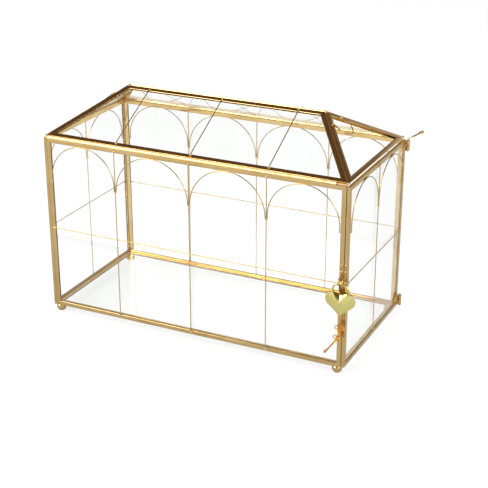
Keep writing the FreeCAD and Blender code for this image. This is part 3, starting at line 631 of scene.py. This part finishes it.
@dataclass
class SubAssembly:
    """A part of the box: what it works with, and the ways in which its pieces come into the scene."""

    bench: Bench
    panels: dict[str, Panel]
    sizes: Sizes

    def solid_piece(self, name: str, node: str, shape: BMesh, slot: Slot, smooth_deg: float = 35.0,
                    body: Body = Body.FRAME) -> None:
        """Bring a modelled shape, freed here, into the scene in place of its CAD node."""
        made = mesh_of(node, shape, self.bench.materials[slot], smooth_deg)
        finish_piece(name, made, body, slot, [node])

    def wire_piece(self, name: str, node: str, paths: Sequence[Path], radius: float, slot: Slot,
                   body: Body = Body.FRAME) -> None:
        """Bring round wires along paths into the scene as one piece, in place of its CAD node."""
        finish_piece(name, self.bench.wires(node, paths, radius, slot), body, slot, [node])

    def solder(self, name: str, spots: Path, size: float, seed: int, body: Body = Body.FRAME) -> None:
        """Bring solder dots into the scene as one piece, which stands for no CAD node.

        Args:
            name: Name of the piece.
            spots: Where each dot sits, in millimetres.
            size: Usual radius of a dot.
            seed: Seed of their uneven sizes.
            body: Body that they ride on.
        """
        source = bpy.data.meshes.new(name)
        source.from_pydata([spot * MM for spot in spots], [], [])
        values = {"Size": size * MM, "Seed": seed, "Material": self.bench.materials[Slot.SOLDER]}
        finish_piece(name, bake(self.bench.dots, source, values), body, Slot.SOLDER)

    def dress(self, node: str, slot: Slot) -> None:
        """Give a CAD node that keeps its solid its material.

        Args:
            node: Name of the node.
            slot: Slot of the material.
        """
        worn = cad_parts[node].data.materials
        worn.clear()
        worn.append(self.bench.materials[slot])


@dataclass
class Glazing(SubAssembly):
    """Brass channel rings with eased edges and mitred corners, and the panes in them."""

    edge: float = 0.45
    edge_steps: int = 3
    lip: float = 0.135
    groove_deep: float = 3.4
    groove_wide: float = 2.2

    def section(self) -> Outline:
        """Outline of the channel across its run.

        Returns:
            Inset from the outer edge and height of each point.
        """
        wide, high, ease, lip = self.sizes.channel, self.sizes.thick, self.edge, self.lip
        low, top = (high - self.groove_wide) / 2, (high + self.groove_wide) / 2
        floor = wide - self.groove_deep
        outline = []
        corners = ((ease, ease, 270), (ease, high - ease, 180), (wide - ease, high - ease, 90))
        for across, level, start in corners:
            for step in range(self.edge_steps + 1):
                turn = math.radians(start - 90 * step / self.edge_steps)
                outline.append((across + ease * math.cos(turn), level + ease * math.sin(turn)))
        return outline + [(wide, top), (floor, top), (floor, low), (wide, low), (wide, lip), (wide - lip, 0)]

    def build(self) -> None:
        """Make every ring and dress every pane."""
        section = self.section()
        for name, panel in self.panels.items():
            shape = bmesh.new()
            rows = [[panel.at(u, v, level) for u, v in panel.inset(across)] for across, level in section]
            skin(shape, rows, ring=True)
            self.solid_piece(name + "_channel_ring", name + "_channel", shape, Slot.BRASS, smooth_deg=25.0,
                             body=body_of(name))
            if name + "_glass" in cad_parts:
                self.dress(name + "_glass", Slot.GLASS)


@dataclass
class Wirework(SubAssembly):
    """Wires on one wall, with the solder that holds them."""

    side: str
    bays: int
    crown_lap: float = 0.2
    arch_gap: float = 0.04

    @property
    def panel(self) -> Panel:
        """The wall."""
        return self.panels[self.side]

    def upright_places(self) -> list[float]:
        """Place of each upright along the wall."""
        return [self.sizes.pitch * (index + 1 - self.bays / 2) for index in range(self.bays - 1)]

    def uprights(self) -> list[Path]:
        """Straight wires from channel to channel."""
        ends = (self.sizes.wire_end, self.panel.height - self.sizes.wire_end)
        return [[self.panel.at(u, v, self.sizes.wire_out) for v in ends] for u in self.upright_places()]

    def arches(self) -> Iterator[tuple[Path, Vector]]:
        """Round-headed arches, each with the point where it meets the top channel.

        Yields:
            The arch's points and its crown.
        """
        panel, wire, out = self.panel, self.sizes.wire, self.sizes.wire_out
        opening = panel.bottom / 2 - self.sizes.channel
        crown = panel.height - self.sizes.channel + self.crown_lap
        foot = crown - self.sizes.arch_rise
        stops = [-opening] + self.upright_places() + [opening]
        for index, (left, right) in enumerate(zip(stops, stops[1:])):
            left += 0 if index == 0 else wire / 2
            right -= 0 if index == self.bays - 1 else wire / 2
            radius = (right - left - wire) / 2 - self.arch_gap
            middle = (left + right) / 2
            head = arc(panel.at(middle, crown - radius, out), panel.along, panel.up, radius, 0, 180, count=40)
            feet = [panel.at(middle + side * radius, foot, out) for side in (1, -1)]
            yield [feet[0]] + head + [feet[1]], panel.at(middle, crown, out)

    def cross_wires(self) -> list[Path]:
        """Level wires across the wall.

        Returns:
            The two ends of each, from upright to upright.
        """
        end = self.panel.bottom / 2 - self.sizes.channel + self.sizes.lap
        stops = [-end] + self.upright_places() + [end]
        return [[self.panel.at(u, self.sizes.cross, self.sizes.wire_out) for u in pair]
                for pair in zip(stops, stops[1:])]

    def build(self) -> None:
        """Make the wires of a wall and their solder."""
        arches = list(self.arches())
        curves = [path for path, _ in arches]
        uprights, cross = self.uprights(), self.cross_wires()
        body, radius = body_of(self.side), self.sizes.wire / 2
        for part, paths in (("uprights", uprights), ("arches", curves), ("cross_wires", cross)):
            node = "%s_%s" % (self.side, part)
            self.wire_piece("%s_wire_%s" % (self.side, part), node, paths, radius, Slot.WIRE, body)
        spots = [crown for _, crown in arches]
        spots += [end for path in uprights for end in path]
        spots += [cross[0][0], cross[-1][-1]] + [path[0] for path in cross[1:]]
        spots += [end for path in curves for end in (path[0], path[-1])]
        self.solder(self.side + "_solder_dots", spots, self.sizes.dot, len(spots), body)


@dataclass
class Roof(SubAssembly):
    """Slope wires, apex loops and the solder in the roof's seams."""

    loop_radius: float = 11.0
    loop_leg: float = 7.0
    loop_level: float = 44.5
    loop_wire: float = 0.65
    loop_dot: float = 1.2
    bead: float = 2.5
    ridge_bead: float = 1.0
    bead_step: float = 3.0
    bead_least: int = 8
    bead_sides: int = 6
    bead_share: float = 0.93
    # Share, radians per millimetre and start of each wave along a bead
    lumps: tuple[tuple[float, float, float], ...] = ((0.05, 0.55, 0.0), (0.03, 1.7, 1.0))
    hinge_room: float = 10.0
    corner_dot: float = 1.3
    corner_out: float = 2.6
    peak_out: float = 2.2

    def slope_wires(self, name: str) -> None:
        """Three straight wires up a long slope, with solder at their ends.

        Args:
            name: The slope.
        """
        panel, sizes = self.panels[name], self.sizes
        ends = (sizes.wire_end, panel.height - sizes.wire_end)
        paths = [[panel.at(index * sizes.pitch, v, sizes.wire_out) for v in ends] for index in (-1, 0, 1)]
        self.wire_piece(name + "_slope_wires", name + "_wires", paths, sizes.wire / 2, Slot.WIRE)
        self.solder(name + "_solder_dots", [end for path in paths for end in path], sizes.dot, seed=3)

    def loop(self, name: str) -> None:
        """Wire loop between the hip channels, below the end of the ridge.

        Args:
            name: The roof end.
        """
        panel, radius, out = self.panels[name], self.loop_radius, self.sizes.thick + self.loop_wire
        tops = [panel.at(side * radius, self.loop_level + self.loop_leg, out) for side in SIGNS]
        bend = arc(panel.at(0, self.loop_level, out), panel.along, panel.up, radius, 180, 360)
        path = [tops[0]] + bend + [tops[1]]
        self.wire_piece(name + "_wire_loop", name + "_loop", [path], self.loop_wire, Slot.BRASS)
        self.solder(name + "_loop_solder", tops, self.loop_dot, seed=5)

    def fill(self, shape: BMesh, start: Vector, end: Vector, first: Vector, second: Vector,
             size: float) -> None:
        """Add one lumpy bead that fills the notch between two rings.

        Args:
            shape: Mesh that takes the bead.
            start: One end of the seam's inner line.
            end: The other end.
            first: Normal of one ring.
            second: Normal of the other.
            size: Height of the bead above that line.
        """
        length, sides = (end - start).length, self.bead_sides
        count = max(self.bead_least, int(length / self.bead_step))
        rows = []
        for station in range(count + 1):
            point = start.lerp(end, station / count)
            place = station / count * length
            waves = (share * math.sin(place * rate + lead) for share, rate, lead in self.lumps)
            swell = size * sum(waves, self.bead_share)
            rows.append([point] + [point + first.lerp(second, k / sides).normalized() * swell
                                   for k in range(sides + 1)])
        skin(shape, rows)

    def seams(self) -> None:
        """Solder along the eaves, hips and ridge, and dots where they meet."""
        panels, half = self.panels, self.sizes.half_length
        pairs = (("front", "back"), ("roof_front", "roof_back"), ("roof_left", "roof_right"))
        wall, slope, end = ({sign: panels[name].normal for sign, name in zip(SIGNS, pair)} for pair in pairs)
        front, back = panels["roof_front"], panels["roof_back"]
        eave = {(x, y): front.at(x * half, 0, 0) if y < 0 else back.at(-x * half, 0, 0)
                for x in SIGNS for y in SIGNS}
        peak = {x: front.at(x * self.sizes.ridge / 2, front.height, 0) for x in SIGNS}
        clear = RIGHT * self.hinge_room
        eaves = [(eave[-1, y], eave[1, y] - clear, wall[y], slope[y]) for y in SIGNS]
        eaves.append((eave[-1, -1], eave[-1, 1], panels["left"].normal, end[-1]))
        hips = [(corner, peak[x], slope[y], end[x]) for (x, y), corner in eave.items()]
        ridge = [(peak[-1], peak[1], slope[-1], slope[1])]
        for node, seams, size in (("eave_solder", eaves, self.bead), ("hip_solder", hips, self.bead),
                                  ("ridge_solder", ridge, self.ridge_bead)):
            shape = bmesh.new()
            for seam in seams:
                self.fill(shape, *seam, size)
            self.solid_piece(node + "_beads", node, shape, Slot.SOLDER, smooth_deg=50.0)
        spots = [corner + (slope[y] + end[x] + wall[y]).normalized() * self.corner_out
                 for (x, y), corner in eave.items()]
        spots += [point + (slope[-1] + slope[1] + end[x]).normalized() * self.peak_out
                  for x, point in peak.items()]
        self.solder("corner_solder_dots", spots, self.corner_dot, seed=11)

    def build(self) -> None:
        """Make everything above the eaves."""
        for name in ("roof_front", "roof_back"):
            self.slope_wires(name)
        for name in ("roof_left", "roof_right"):
            self.loop(name)
        self.seams()


@dataclass
class Feet(SubAssembly):
    """Turned ball feet, flat on the table and where they meet the base channel."""

    radius: float = 4.8
    flat: float = 0.3
    inset: float = 5.2
    steps: int = 18

    def places(self) -> list[Vector]:
        """Middle of each foot on the table.

        Returns:
            Four points, in millimetres.
        """
        middle = self.panels["front"].base - Vector((0, -self.sizes.half_depth, self.sizes.foot))
        half = self.sizes.half_length + self.sizes.thick
        deep = self.sizes.depth / 2 - self.inset
        ends = (-half + self.inset, half - self.inset - self.sizes.thick)
        return [middle + Vector((x, y, 0)) for x in ends for y in (-deep, deep)]

    def build(self) -> None:
        """Make the four feet."""
        rise = self.radius - self.flat
        low = -math.asin(rise / self.radius)
        high = math.asin((self.sizes.foot - rise) / self.radius)
        turns = [low + (high - low) * k / self.steps for k in range(self.steps + 1)]
        profile = [(self.radius * math.cos(a), rise + self.radius * math.sin(a)) for a in turns]
        shape = bmesh.new()
        for place in self.places():
            lathe(shape, profile, Matrix.Translation(place), sides=40)
        self.solid_piece("turned_ball_feet", "ball_feet", shape, Slot.BRASS, smooth_deg=40.0)


@dataclass
class Hinges(SubAssembly):
    """Pin hinges at the back right corner."""

    pin: float = 0.8
    pin_past: float = 1.2
    pin_tip: float = 0.3
    # Radius and height of each step of the lower pin's head
    pin_head: tuple[tuple[float, float], ...] = ((1.3, 0.0), (1.6, 0.25), (1.6, 0.6), (1.4, 0.8))
    knuckle: float = 1.75
    knuckle_play: float = 0.05
    knuckle_ease: float = 0.2
    knuckle_gap: float = 0.3
    high: float = 5.0
    corner_gap: float = 1.5
    behind: float = 1.3
    strap: float = 10.0
    strap_start: float = 1.2
    strap_thick: float = 0.8
    strap_ease: float = 0.15
    tail: float = 12.0
    tail_rise: float = 4.5
    # Points of the upper pin's bend: below its top, and out along the tail
    tail_bend: tuple[tuple[float, float], ...] = ((1.2, 0.0), (0.3, 0.1), (0.0, 0.9))
    ring: float = 1.9
    ring_open: float = 15.0

    @property
    def axis(self) -> Vector:
        """Foot of the hinge axis on the table."""
        door, back, thick = self.panels["door"].base, self.panels["back"].base, self.sizes.thick
        return Vector((door.x + thick + self.knuckle, back.y + thick + self.behind, 0))

    def levels(self) -> dict[str, tuple[float, float]]:
        """Lowest height of the knuckles of each hinge.

        Returns:
            Height of the frame's and the door's knuckle by hinge.
        """
        top, bottom = self.sizes.eave - self.corner_gap, self.sizes.foot + self.corner_gap
        return {"upper": (top - self.high, top - 2 * self.high - self.knuckle_gap),
                "lower": (bottom, bottom + self.high + self.knuckle_gap)}

    def leaf(self, name: str, level: float, body: Body) -> None:
        """Strap rolled into a knuckle.

        Args:
            name: CAD node that it stands for.
            level: Lowest height.
            body: Body that it rides on.
        """
        shape, axis, high = bmesh.new(), self.axis + UP * level, self.high
        inner, outer, ease = self.pin + self.knuckle_play, self.knuckle, self.knuckle_ease
        tube = [(inner, 0), (outer - ease, 0), (outer, ease), (outer, high - ease), (outer - ease, high),
                (inner, high)]
        lathe(shape, tube, Matrix.Translation(axis), sides=32, hollow=True)
        if body is Body.DOOR:
            first = Vector((-self.knuckle, -self.strap, 0))
            last = Vector((self.strap_thick - self.knuckle, -self.strap_start, high))
        else:
            first = Vector((-self.strap, -self.behind, 0))
            last = Vector((-self.strap_start, self.strap_thick - self.behind, high))
        block(shape, axis + first, axis + last, Matrix(), self.strap_ease)
        self.solid_piece(name + "_strap", name, shape, Slot.BRASS, body=body)

    def pins(self, upper: float, lower: float) -> None:
        """Upper pin with its bent tail and ring, and lower pin with its head.

        Args:
            upper: Lowest height of the upper hinge.
            lower: Lowest height of the lower hinge.
        """
        span = 2 * self.high + self.knuckle_gap + 2 * self.pin_past
        foot = self.axis + UP * (upper - self.pin_past)
        top = foot + UP * span
        reach = self.tail / math.sqrt(2)
        out = Vector((reach, reach, self.tail_rise))
        away = out.normalized()
        bend = [top - UP * below + away * along for below, along in self.tail_bend]
        side = (BACK - RIGHT).normalized()
        eye = arc(top + out + away * self.ring, -away, side, self.ring, 0, 360 - self.ring_open)
        self.wire_piece("upper_pin_with_ring", "upper_hinge_pin", [[foot] + bend + eye], self.pin, Slot.BRASS)
        shape, radius, tip = bmesh.new(), self.pin, self.pin_tip
        shank = [(radius, self.pin_head[-1][1]), (radius, span - tip), (radius - tip, span)]
        place = Matrix.Translation(self.axis + UP * (lower - self.pin_past))
        lathe(shape, [*self.pin_head, *shank], place)
        self.solid_piece("lower_pin_with_head", "lower_hinge_pin", shape, Slot.BRASS)

    def build(self) -> None:
        """Make leaves and pins."""
        levels = self.levels()
        for name, (on_frame, on_door) in levels.items():
            self.leaf(name + "_hinge_frame_leaf", on_frame, Body.FRAME)
            self.leaf(name + "_hinge_door_leaf", on_door, Body.DOOR)
        self.pins(min(levels["upper"]), min(levels["lower"]))


@dataclass
class Padlock(SubAssembly):
    """Lock eyes, shackle and puffed heart case."""

    eye_ring: float = 3.6
    eye_open: float = 12.0
    eye_wire: float = 0.6
    eye_level: float = 97.5
    eye_gap: float = 0.15
    eye_dot: float = 0.95
    eye_tail: tuple[float, float] = (2.5, 15.0)
    door_eye_back: float = 0.5
    # Top of the shackle's bow from the middle between the eyes
    hang: tuple[float, float, float] = (0.0, -1.3, -0.8)
    bow: float = 7.9
    rod: float = 1.0
    # Tip of the free leg, foot of its notch and top of its notch above the middle of the lobes
    leg_levels: tuple[float, float, float] = (1.6, 2.9, 4.7)
    neck: float = 0.5
    neck_out: float = 0.37
    pivot_ring: float = 1.6
    pivot_wire: float = 0.6
    pivot_open: float = 12.0
    heart_level: float = 16.6
    heart_middle: float = -3.0
    lobe: float = 7.6
    spread: float = 6.9
    drop: float = 15.4
    cleft: float = 5.4
    cleft_curve: float = 0.1
    side_steps: int = 14
    lobe_steps: int = 44
    front_depth: float = 4.0
    back_depth: float = 3.3
    crown_steps: int = 16
    crown_share: float = 0.97
    crown_power: float = 1.6
    rim: float = 0.6
    rim_wall: float = 0.12
    rim_share: float = 0.78
    # Share of the outline and depth of each step of the hollow
    hollow: tuple[tuple[float, float], ...] = ((0.03, 2.0), (0.4, 2.0), (0.6, 2.0), (0.74, 1.35))
    slot_half: float = 1.25
    # Where the free leg enters, across the heart, and where the other leg swings, in degrees
    free_leg: tuple[float, float] = (4.5, 9.4)
    free_leg_from: float = 2.0
    pivot_leg: tuple[float, float] = (74.0, 156.0)
    pivot_leg_from: float = -2.0
    keyhole: float = 2.6

    def eye_places(self) -> tuple[Vector, Vector]:
        """Middle of each eye ring.

        Returns:
            The frame's and the door's, in millimetres.
        """
        front, door, sizes = self.panels["front"].base, self.panels["door"].base, self.sizes
        y = front.y - sizes.thick - self.eye_wire - self.eye_ring - self.eye_gap
        on_frame = front.x + sizes.half_length - sizes.channel / 2
        on_door = door.x + sizes.thick / 2
        return Vector((on_frame, y, self.eye_level)), Vector((on_door, y, self.eye_level))

    @property
    def origin(self) -> Vector:
        """Top of the shackle's bow."""
        first, second = self.eye_places()
        return (first + second) / 2 + Vector(self.hang)

    def eyes(self) -> None:
        """Bent wire eyes with a tail soldered up the corner."""
        on_frame, on_door = self.eye_places()
        for node, centre, body, back in (("frame_lock_eye", on_frame, Body.FRAME, 0.0),
                                         ("door_lock_eye", on_door, Body.DOOR, self.door_eye_back)):
            ring = arc(centre, BACK, -UP, self.eye_ring, self.eye_open, 360)
            foot = centre + BACK * (self.eye_ring + self.eye_gap + back)
            low, high = (foot + UP * level for level in self.eye_tail)
            self.wire_piece(node + "_wire", node, [ring + [low, high]], self.eye_wire, Slot.BRASS, body)
            self.solder(node + "_solder", [high, low.lerp(high, 0.5)], self.eye_dot, seed=7, body=body)

    def shackle(self) -> None:
        """Bent rod with a pivot eye on its left leg and a notch for the latch in its right leg."""
        top, wires = self.origin, self.bench.wires
        bend = arc(top - UP * self.bow, RIGHT, UP, self.bow, 0, 180, count=40)
        leg = top + RIGHT * self.bow - UP * self.heart_level
        tip, low, high = (leg + UP * level for level in self.leg_levels)
        pivot = top - RIGHT * self.bow - UP * self.heart_level
        neck = [point + RIGHT * self.neck_out for point in (tip.lerp(low, 0.5), high + UP * self.neck)]
        ring = arc(pivot, RIGHT, UP, self.pivot_ring, 0, 360 - self.pivot_open)
        rod = [high] + bend + [pivot + UP * self.pivot_ring]
        parts = (wires("shackle_bow", [rod], self.rod, Slot.LOCK, sides=24),
                 wires("shackle_tip", [[tip, low]], self.rod, Slot.LOCK, sides=24),
                 wires("shackle_neck", [neck], self.neck, Slot.LOCK),
                 wires("shackle_eye", [ring], self.pivot_wire, Slot.LOCK, closed=True))
        shape = bmesh.new()
        for part in parts:
            shape.from_mesh(part)
        self.solid_piece("shackle_rod", "shackle", shape, Slot.LOCK, body=Body.SHACKLE)

    def heart_points(self) -> Outline:
        """Outline of the heart about the middle of its lobes.

        Returns:
            Points across and up, from the tip counter-clockwise.
        """
        spread, lobe, drop = self.spread, self.lobe, self.drop
        reach = math.hypot(spread, drop)
        lean = math.atan2(spread, drop) + math.asin(lobe / reach)
        side = math.sqrt(reach * reach - lobe * lobe)
        touch = (side * math.sin(lean), side * math.cos(lean) - drop)
        start = math.atan2(touch[1], touch[0] - spread)
        end = math.atan2(math.sqrt(lobe * lobe - spread * spread), -spread)
        half = [(touch[0] * k / self.side_steps, -drop + (touch[1] + drop) * k / self.side_steps)
                for k in range(self.side_steps)]
        turns = [start + (end - start) * k / self.lobe_steps for k in range(self.lobe_steps + 1)]
        for x, z in ((spread + lobe * math.cos(a), lobe * math.sin(a)) for a in turns):
            half.append((x, max(z, self.cleft + self.cleft_curve * x * x) if x < spread / 2 else z))
        return half + [(-x, z) for x, z in reversed(half[1:-1])]

    def rim_at(self, x: float, z: float) -> float:
        """Inner edge of the rim, lifted where a leg or the key passes.

        Args:
            x: Place across the heart.
            z: Place up the heart.

        Returns:
            Height above the plane where the halves meet.
        """
        turn = math.degrees(math.atan2(z, x + self.bow))
        free_leg = z > self.free_leg_from and self.free_leg[0] < x < self.free_leg[1]
        pivot_leg = z > self.pivot_leg_from and x < 0 and self.pivot_leg[0] < turn < self.pivot_leg[1]
        key = z < self.keyhole - self.drop and x > -self.keyhole
        return self.slot_half if free_leg or pivot_leg or key else 0.0

    def shell(self, facing: int) -> BMesh:
        """One pressed half of the heart, crowned outside and hollow inside.

        Args:
            facing: -1 for the front half, 1 for the back.

        Returns:
            The shape.
        """
        outline, middle = self.heart_points(), self.heart_middle
        heart = self.origin - UP * self.heart_level
        depth = self.front_depth if facing < 0 else self.back_depth
        rims = [self.rim_at(x, z) for x, z in outline]
        edges = [max(self.rim, rim + self.rim_wall) for rim in rims]
        levels = [(share, [deep] * len(outline)) for share, deep in self.hollow]
        levels += [(self.rim_share, rims), (1.0, rims)]
        for k in range(self.crown_steps + 1):
            share = 1.0 - self.crown_share * k / self.crown_steps
            crown = 1 - share ** self.crown_power
            levels.append((share, [edge + (depth - edge) * crown for edge in edges]))
        shape = bmesh.new()
        skin(shape, [[heart + Vector((x * share, facing * deep, middle + (z - middle) * share))
                      for (x, z), deep in zip(outline, depths)] for share, depths in levels])
        return shape

    def case(self) -> None:
        """Both halves of the heart; the rivet and the latch keep their solids."""
        for node, facing in (("lock_front_shell", -1), ("lock_back_shell", 1)):
            self.solid_piece(node + "_crowned", node, self.shell(facing), Slot.LOCK, smooth_deg=55.0,
                             body=Body.CASE)
        for node in ("lock_rivet", "lock_latch"):
            self.dress(node, Slot.LOCK)

    def build(self) -> None:
        """Make the lock from its eyes to its case."""
        self.eyes()
        self.shackle()
        self.case()


@dataclass
class Keys(SubAssembly):
    """Key in the lock, split ring and spare key."""

    hung_from: Vector
    level: float = 44.5
    lobe: float = 1.68
    lobe_out: float = 2.9
    lobe_wire: float = 0.52
    lobe_steps: int = 28
    # Radius and height of each step of the shank, from the bow to the tip
    shank: tuple[tuple[float, float], ...] = (
        (0.5, -1.4), (0.9, -1.0), (0.9, 1.8), (1.25, 2.1), (1.25, 2.6), (0.9, 2.9), (0.9, 3.4), (1.15, 3.7),
        (1.15, 4.0), (0.85, 4.3), (0.85, 20.5), (0.55, 21.0))
    # Lowest and highest place of each tooth along the shank
    teeth: tuple[tuple[float, float], ...] = ((17.6, 18.7), (19.2, 20.6))
    tooth_root: float = 0.3
    tooth_tip: float = 1.7
    tooth_half: float = 0.5
    tooth_ease: float = 0.12
    ring: float = 2.6
    ring_wire: float = 0.3
    ring_pitch: float = 0.38
    ring_steps: int = 72
    ring_turns: tuple[float, float] = (40.0, 730.0)
    ring_hold: float = 3.45
    tilt: float = 35.0

    def key(self, name: str, node: str, place: Matrix, body: Body) -> None:
        """Key with a three-lobed bow, collared shank and two teeth.

        Args:
            name: Name of the piece.
            node: CAD node that it stands for.
            place: Place of the bow's middle, local z towards the teeth.
            body: Body that it rides on.
        """
        last = 360 - 360 / self.lobe_steps
        loops = [[place @ point for point in arc(centre, RIGHT, UP, self.lobe, 0, last, self.lobe_steps - 1)]
                 for centre in (-RIGHT * self.lobe_out, RIGHT * self.lobe_out, -UP * self.lobe_out)]
        shape = bmesh.new()
        shape.from_mesh(self.bench.wires(node, loops, self.lobe_wire, Slot.KEYS, closed=True))
        lathe(shape, self.shank, place)
        for low, high in self.teeth:
            block(shape, Vector((self.tooth_root, -self.tooth_half, low)),
                  Vector((self.tooth_tip, self.tooth_half, high)), place, self.tooth_ease)
        self.solid_piece(name, node, shape, Slot.KEYS, smooth_deg=40.0, body=body)

    def build(self) -> None:
        """Make both keys and the ring between them."""
        bow = self.hung_from - UP * self.level
        self.key("lock_key", "key", Matrix.Translation(bow), Body.KEY)
        centre = bow - UP * (self.ring_hold + self.ring)
        turns = arc(centre, UP, BACK, self.ring, *self.ring_turns, self.ring_steps)
        coil = [point + RIGHT * (self.ring_pitch * (k / self.ring_steps - 0.5))
                for k, point in enumerate(turns)]
        self.wire_piece("split_key_ring", "key_ring", [coil], self.ring_wire, Slot.KEYS, Body.RING)
        turned = Matrix.Rotation(math.radians(180 + self.tilt), 4, "Y")
        spare = centre - UP * self.ring + turned @ (UP * self.ring_hold)
        self.key("spare_lock_key", "spare_key", Matrix.Translation(spare) @ turned, Body.SPARE)


# Studio

def mirrored(tree: NodeTree, rays: Node, through: float = 0.0) -> NodeSocket:
    """Socket that is 1 for rays off a mirror and 0 for rays seen straight.

    Args:
        tree: Tree that takes the node.
        rays: Its Light Path node.
        through: Its value for rays that have just passed a pane.

    Returns:
        The socket.
    """
    node = add_node(tree, "ShaderNodeMath",
                    {0: rays.outputs["Is Transmission Ray"], 1: through - 1,
                     2: rays.outputs["Is Glossy Ray"]}, operation="MULTIPLY_ADD", use_clamp=True)
    return node.outputs[0]


@dataclass(frozen=True)
class SoftBox:
    """A square soft light that faces the object, in metres and watts."""

    name: str
    place: tuple[float, float, float]
    size: float
    power: float


@dataclass
class Studio:
    """White floor, soft light and the camera."""

    shift: Vector
    azimuth: float = 25.73
    elevation: float = 23.03
    distance: float = 1222.0
    focal_px: float = 1220.0
    image_px: float = 488.0
    sensor: float = 36.0
    near: float = 0.05
    aim: tuple[float, float, float] = (21.2, 0.0, 79.4)
    floor_half: float = 6.0
    floor_white: str = "#ededed"
    floor_mirrored: str = "#b4b4b4"
    floor_glow: float = 0.75
    # Height and colour of the sky in reflections, from the horizon up
    sky_low: tuple[float, str] = (0.12, "#ffffff")
    sky_high: tuple[float, str] = (0.48, "#66503e")
    sky_through: float = 0.5
    lights: tuple[SoftBox, ...] = (SoftBox("key_light", (-1.1, -1.5, 1.25), 1.5, 40.0),
                                   SoftBox("fill_light", (1.5, -0.7, 0.9), 0.8, 14.0))

    def camera(self) -> None:
        """Camera at the photograph's viewing angle."""
        lens = bpy.data.cameras.new("camera")
        lens.sensor_width = self.sensor
        lens.lens = self.focal_px / self.image_px * self.sensor
        lens.clip_start = self.near
        eye = put_in_scene("camera", lens)
        round_by, up_by = math.radians(self.azimuth), math.radians(self.elevation)
        level = math.cos(up_by)
        back = Vector((math.sin(round_by) * level, -math.cos(round_by) * level, math.sin(up_by)))
        target = Vector(self.aim) + self.shift
        eye.location = (target + back * self.distance) * MM
        eye.rotation_euler = back.to_track_quat("Z", "Y").to_euler()
        bpy.context.scene.camera = eye

    def paper(self) -> Material:
        """Matt white paper.

        Returns:
            The floor's material.
        """
        # White paper: no shine, keeps a soft shadow, greyer where polished metal mirrors it
        made, tree = blank_material("white_paper")
        rays = add_node(tree, "ShaderNodeLightPath")
        tone = add_node(tree, "ShaderNodeMix",
                        {"Factor": mirrored(tree, rays), "A": linear(self.floor_white),
                         "B": linear(self.floor_mirrored)}, data_type="RGBA")
        matt = add_node(tree, "ShaderNodeBsdfDiffuse", {"Color": tone.outputs["Result"]})
        glow = add_node(tree, "ShaderNodeEmission", {"Color": WHITE, "Strength": 1.0})
        seen = add_node(tree, "ShaderNodeMath",
                        {0: rays.outputs["Is Camera Ray"], 1: rays.outputs["Is Transmission Ray"]},
                        use_clamp=True)
        share = add_node(tree, "ShaderNodeMath", {0: seen.outputs[0], 1: self.floor_glow},
                         operation="MULTIPLY")
        mix = add_node(tree, "ShaderNodeMixShader",
                       {0: share.outputs[0], 1: matt.outputs["BSDF"], 2: glow.outputs["Emission"]})
        add_node(tree, "ShaderNodeOutputMaterial", {"Surface": mix.outputs["Shader"]})
        return made

    def floor(self) -> None:
        """Wide white floor that keeps a soft shadow."""
        shape = bmesh.new()
        bmesh.ops.create_grid(shape, x_segments=1, y_segments=1, size=self.floor_half)
        made = bpy.data.meshes.new("floor")
        shape.to_mesh(made)
        shape.free()
        made.materials.append(self.paper())
        sheet = put_in_scene("floor", made)

    def sky(self) -> None:
        """White all round; reflections see it dim to a warm brown overhead."""
        world = bpy.data.worlds.new("studio")
        bpy.context.scene.world = world
        world.use_nodes = True
        tree = world.node_tree
        tree.nodes.clear()
        where = add_node(tree, "ShaderNodeTexCoord")
        parts = add_node(tree, "ShaderNodeSeparateXYZ", {"Vector": where.outputs["Generated"]})
        ramp = add_node(tree, "ShaderNodeValToRGB", {"Fac": parts.outputs["Z"]})
        for stop, (height, colour) in zip(ramp.color_ramp.elements, (self.sky_low, self.sky_high)):
            stop.position, stop.color = height, linear(colour)
        rays = add_node(tree, "ShaderNodeLightPath")
        seen = add_node(tree, "ShaderNodeMix",
                        {"Factor": mirrored(tree, rays, self.sky_through), "A": WHITE,
                         "B": ramp.outputs["Color"]}, data_type="RGBA")
        light = add_node(tree, "ShaderNodeBackground", {"Color": seen.outputs["Result"], "Strength": 1.0})
        add_node(tree, "ShaderNodeOutputWorld", {"Surface": light.outputs["Background"]})

    def lamps(self) -> None:
        """Two soft boxes: a key from the front left and a fill from the right."""
        for box in self.lights:
            lamp = bpy.data.lights.new(box.name, "AREA")
            lamp.size = box.size
            lamp.energy = box.power
            holder = put_in_scene(box.name, lamp)
            holder.location = box.place
            holder.rotation_euler = Vector(box.place).to_track_quat("Z", "Y").to_euler()

    def build(self) -> None:
        """Set up the studio."""
        bpy.context.scene.view_settings.view_transform = "Standard"
        self.camera()
        self.floor()
        self.sky()
        self.lamps()


def main() -> None:
    """Build every sub-assembly in order."""
    logging.basicConfig(level=logging.INFO, format="%(name)s %(message)s")
    sizes = Sizes()
    panels = make_panels(sizes)
    bench = Bench()
    Studio(panels["front"].base + Vector((0, sizes.half_depth, -sizes.foot))).build()
    Glazing(bench, panels, sizes).build()
    for side, bays in (("front", 4), ("back", 4), ("left", 2), ("door", 2)):
        Wirework(bench, panels, sizes, side, bays).build()
    for part in (Roof, Feet, Hinges):
        part(bench, panels, sizes).build()
    lock = Padlock(bench, panels, sizes)
    lock.build()
    Keys(bench, panels, sizes, lock.origin).build()


if __name__ == "__main__":
    main()
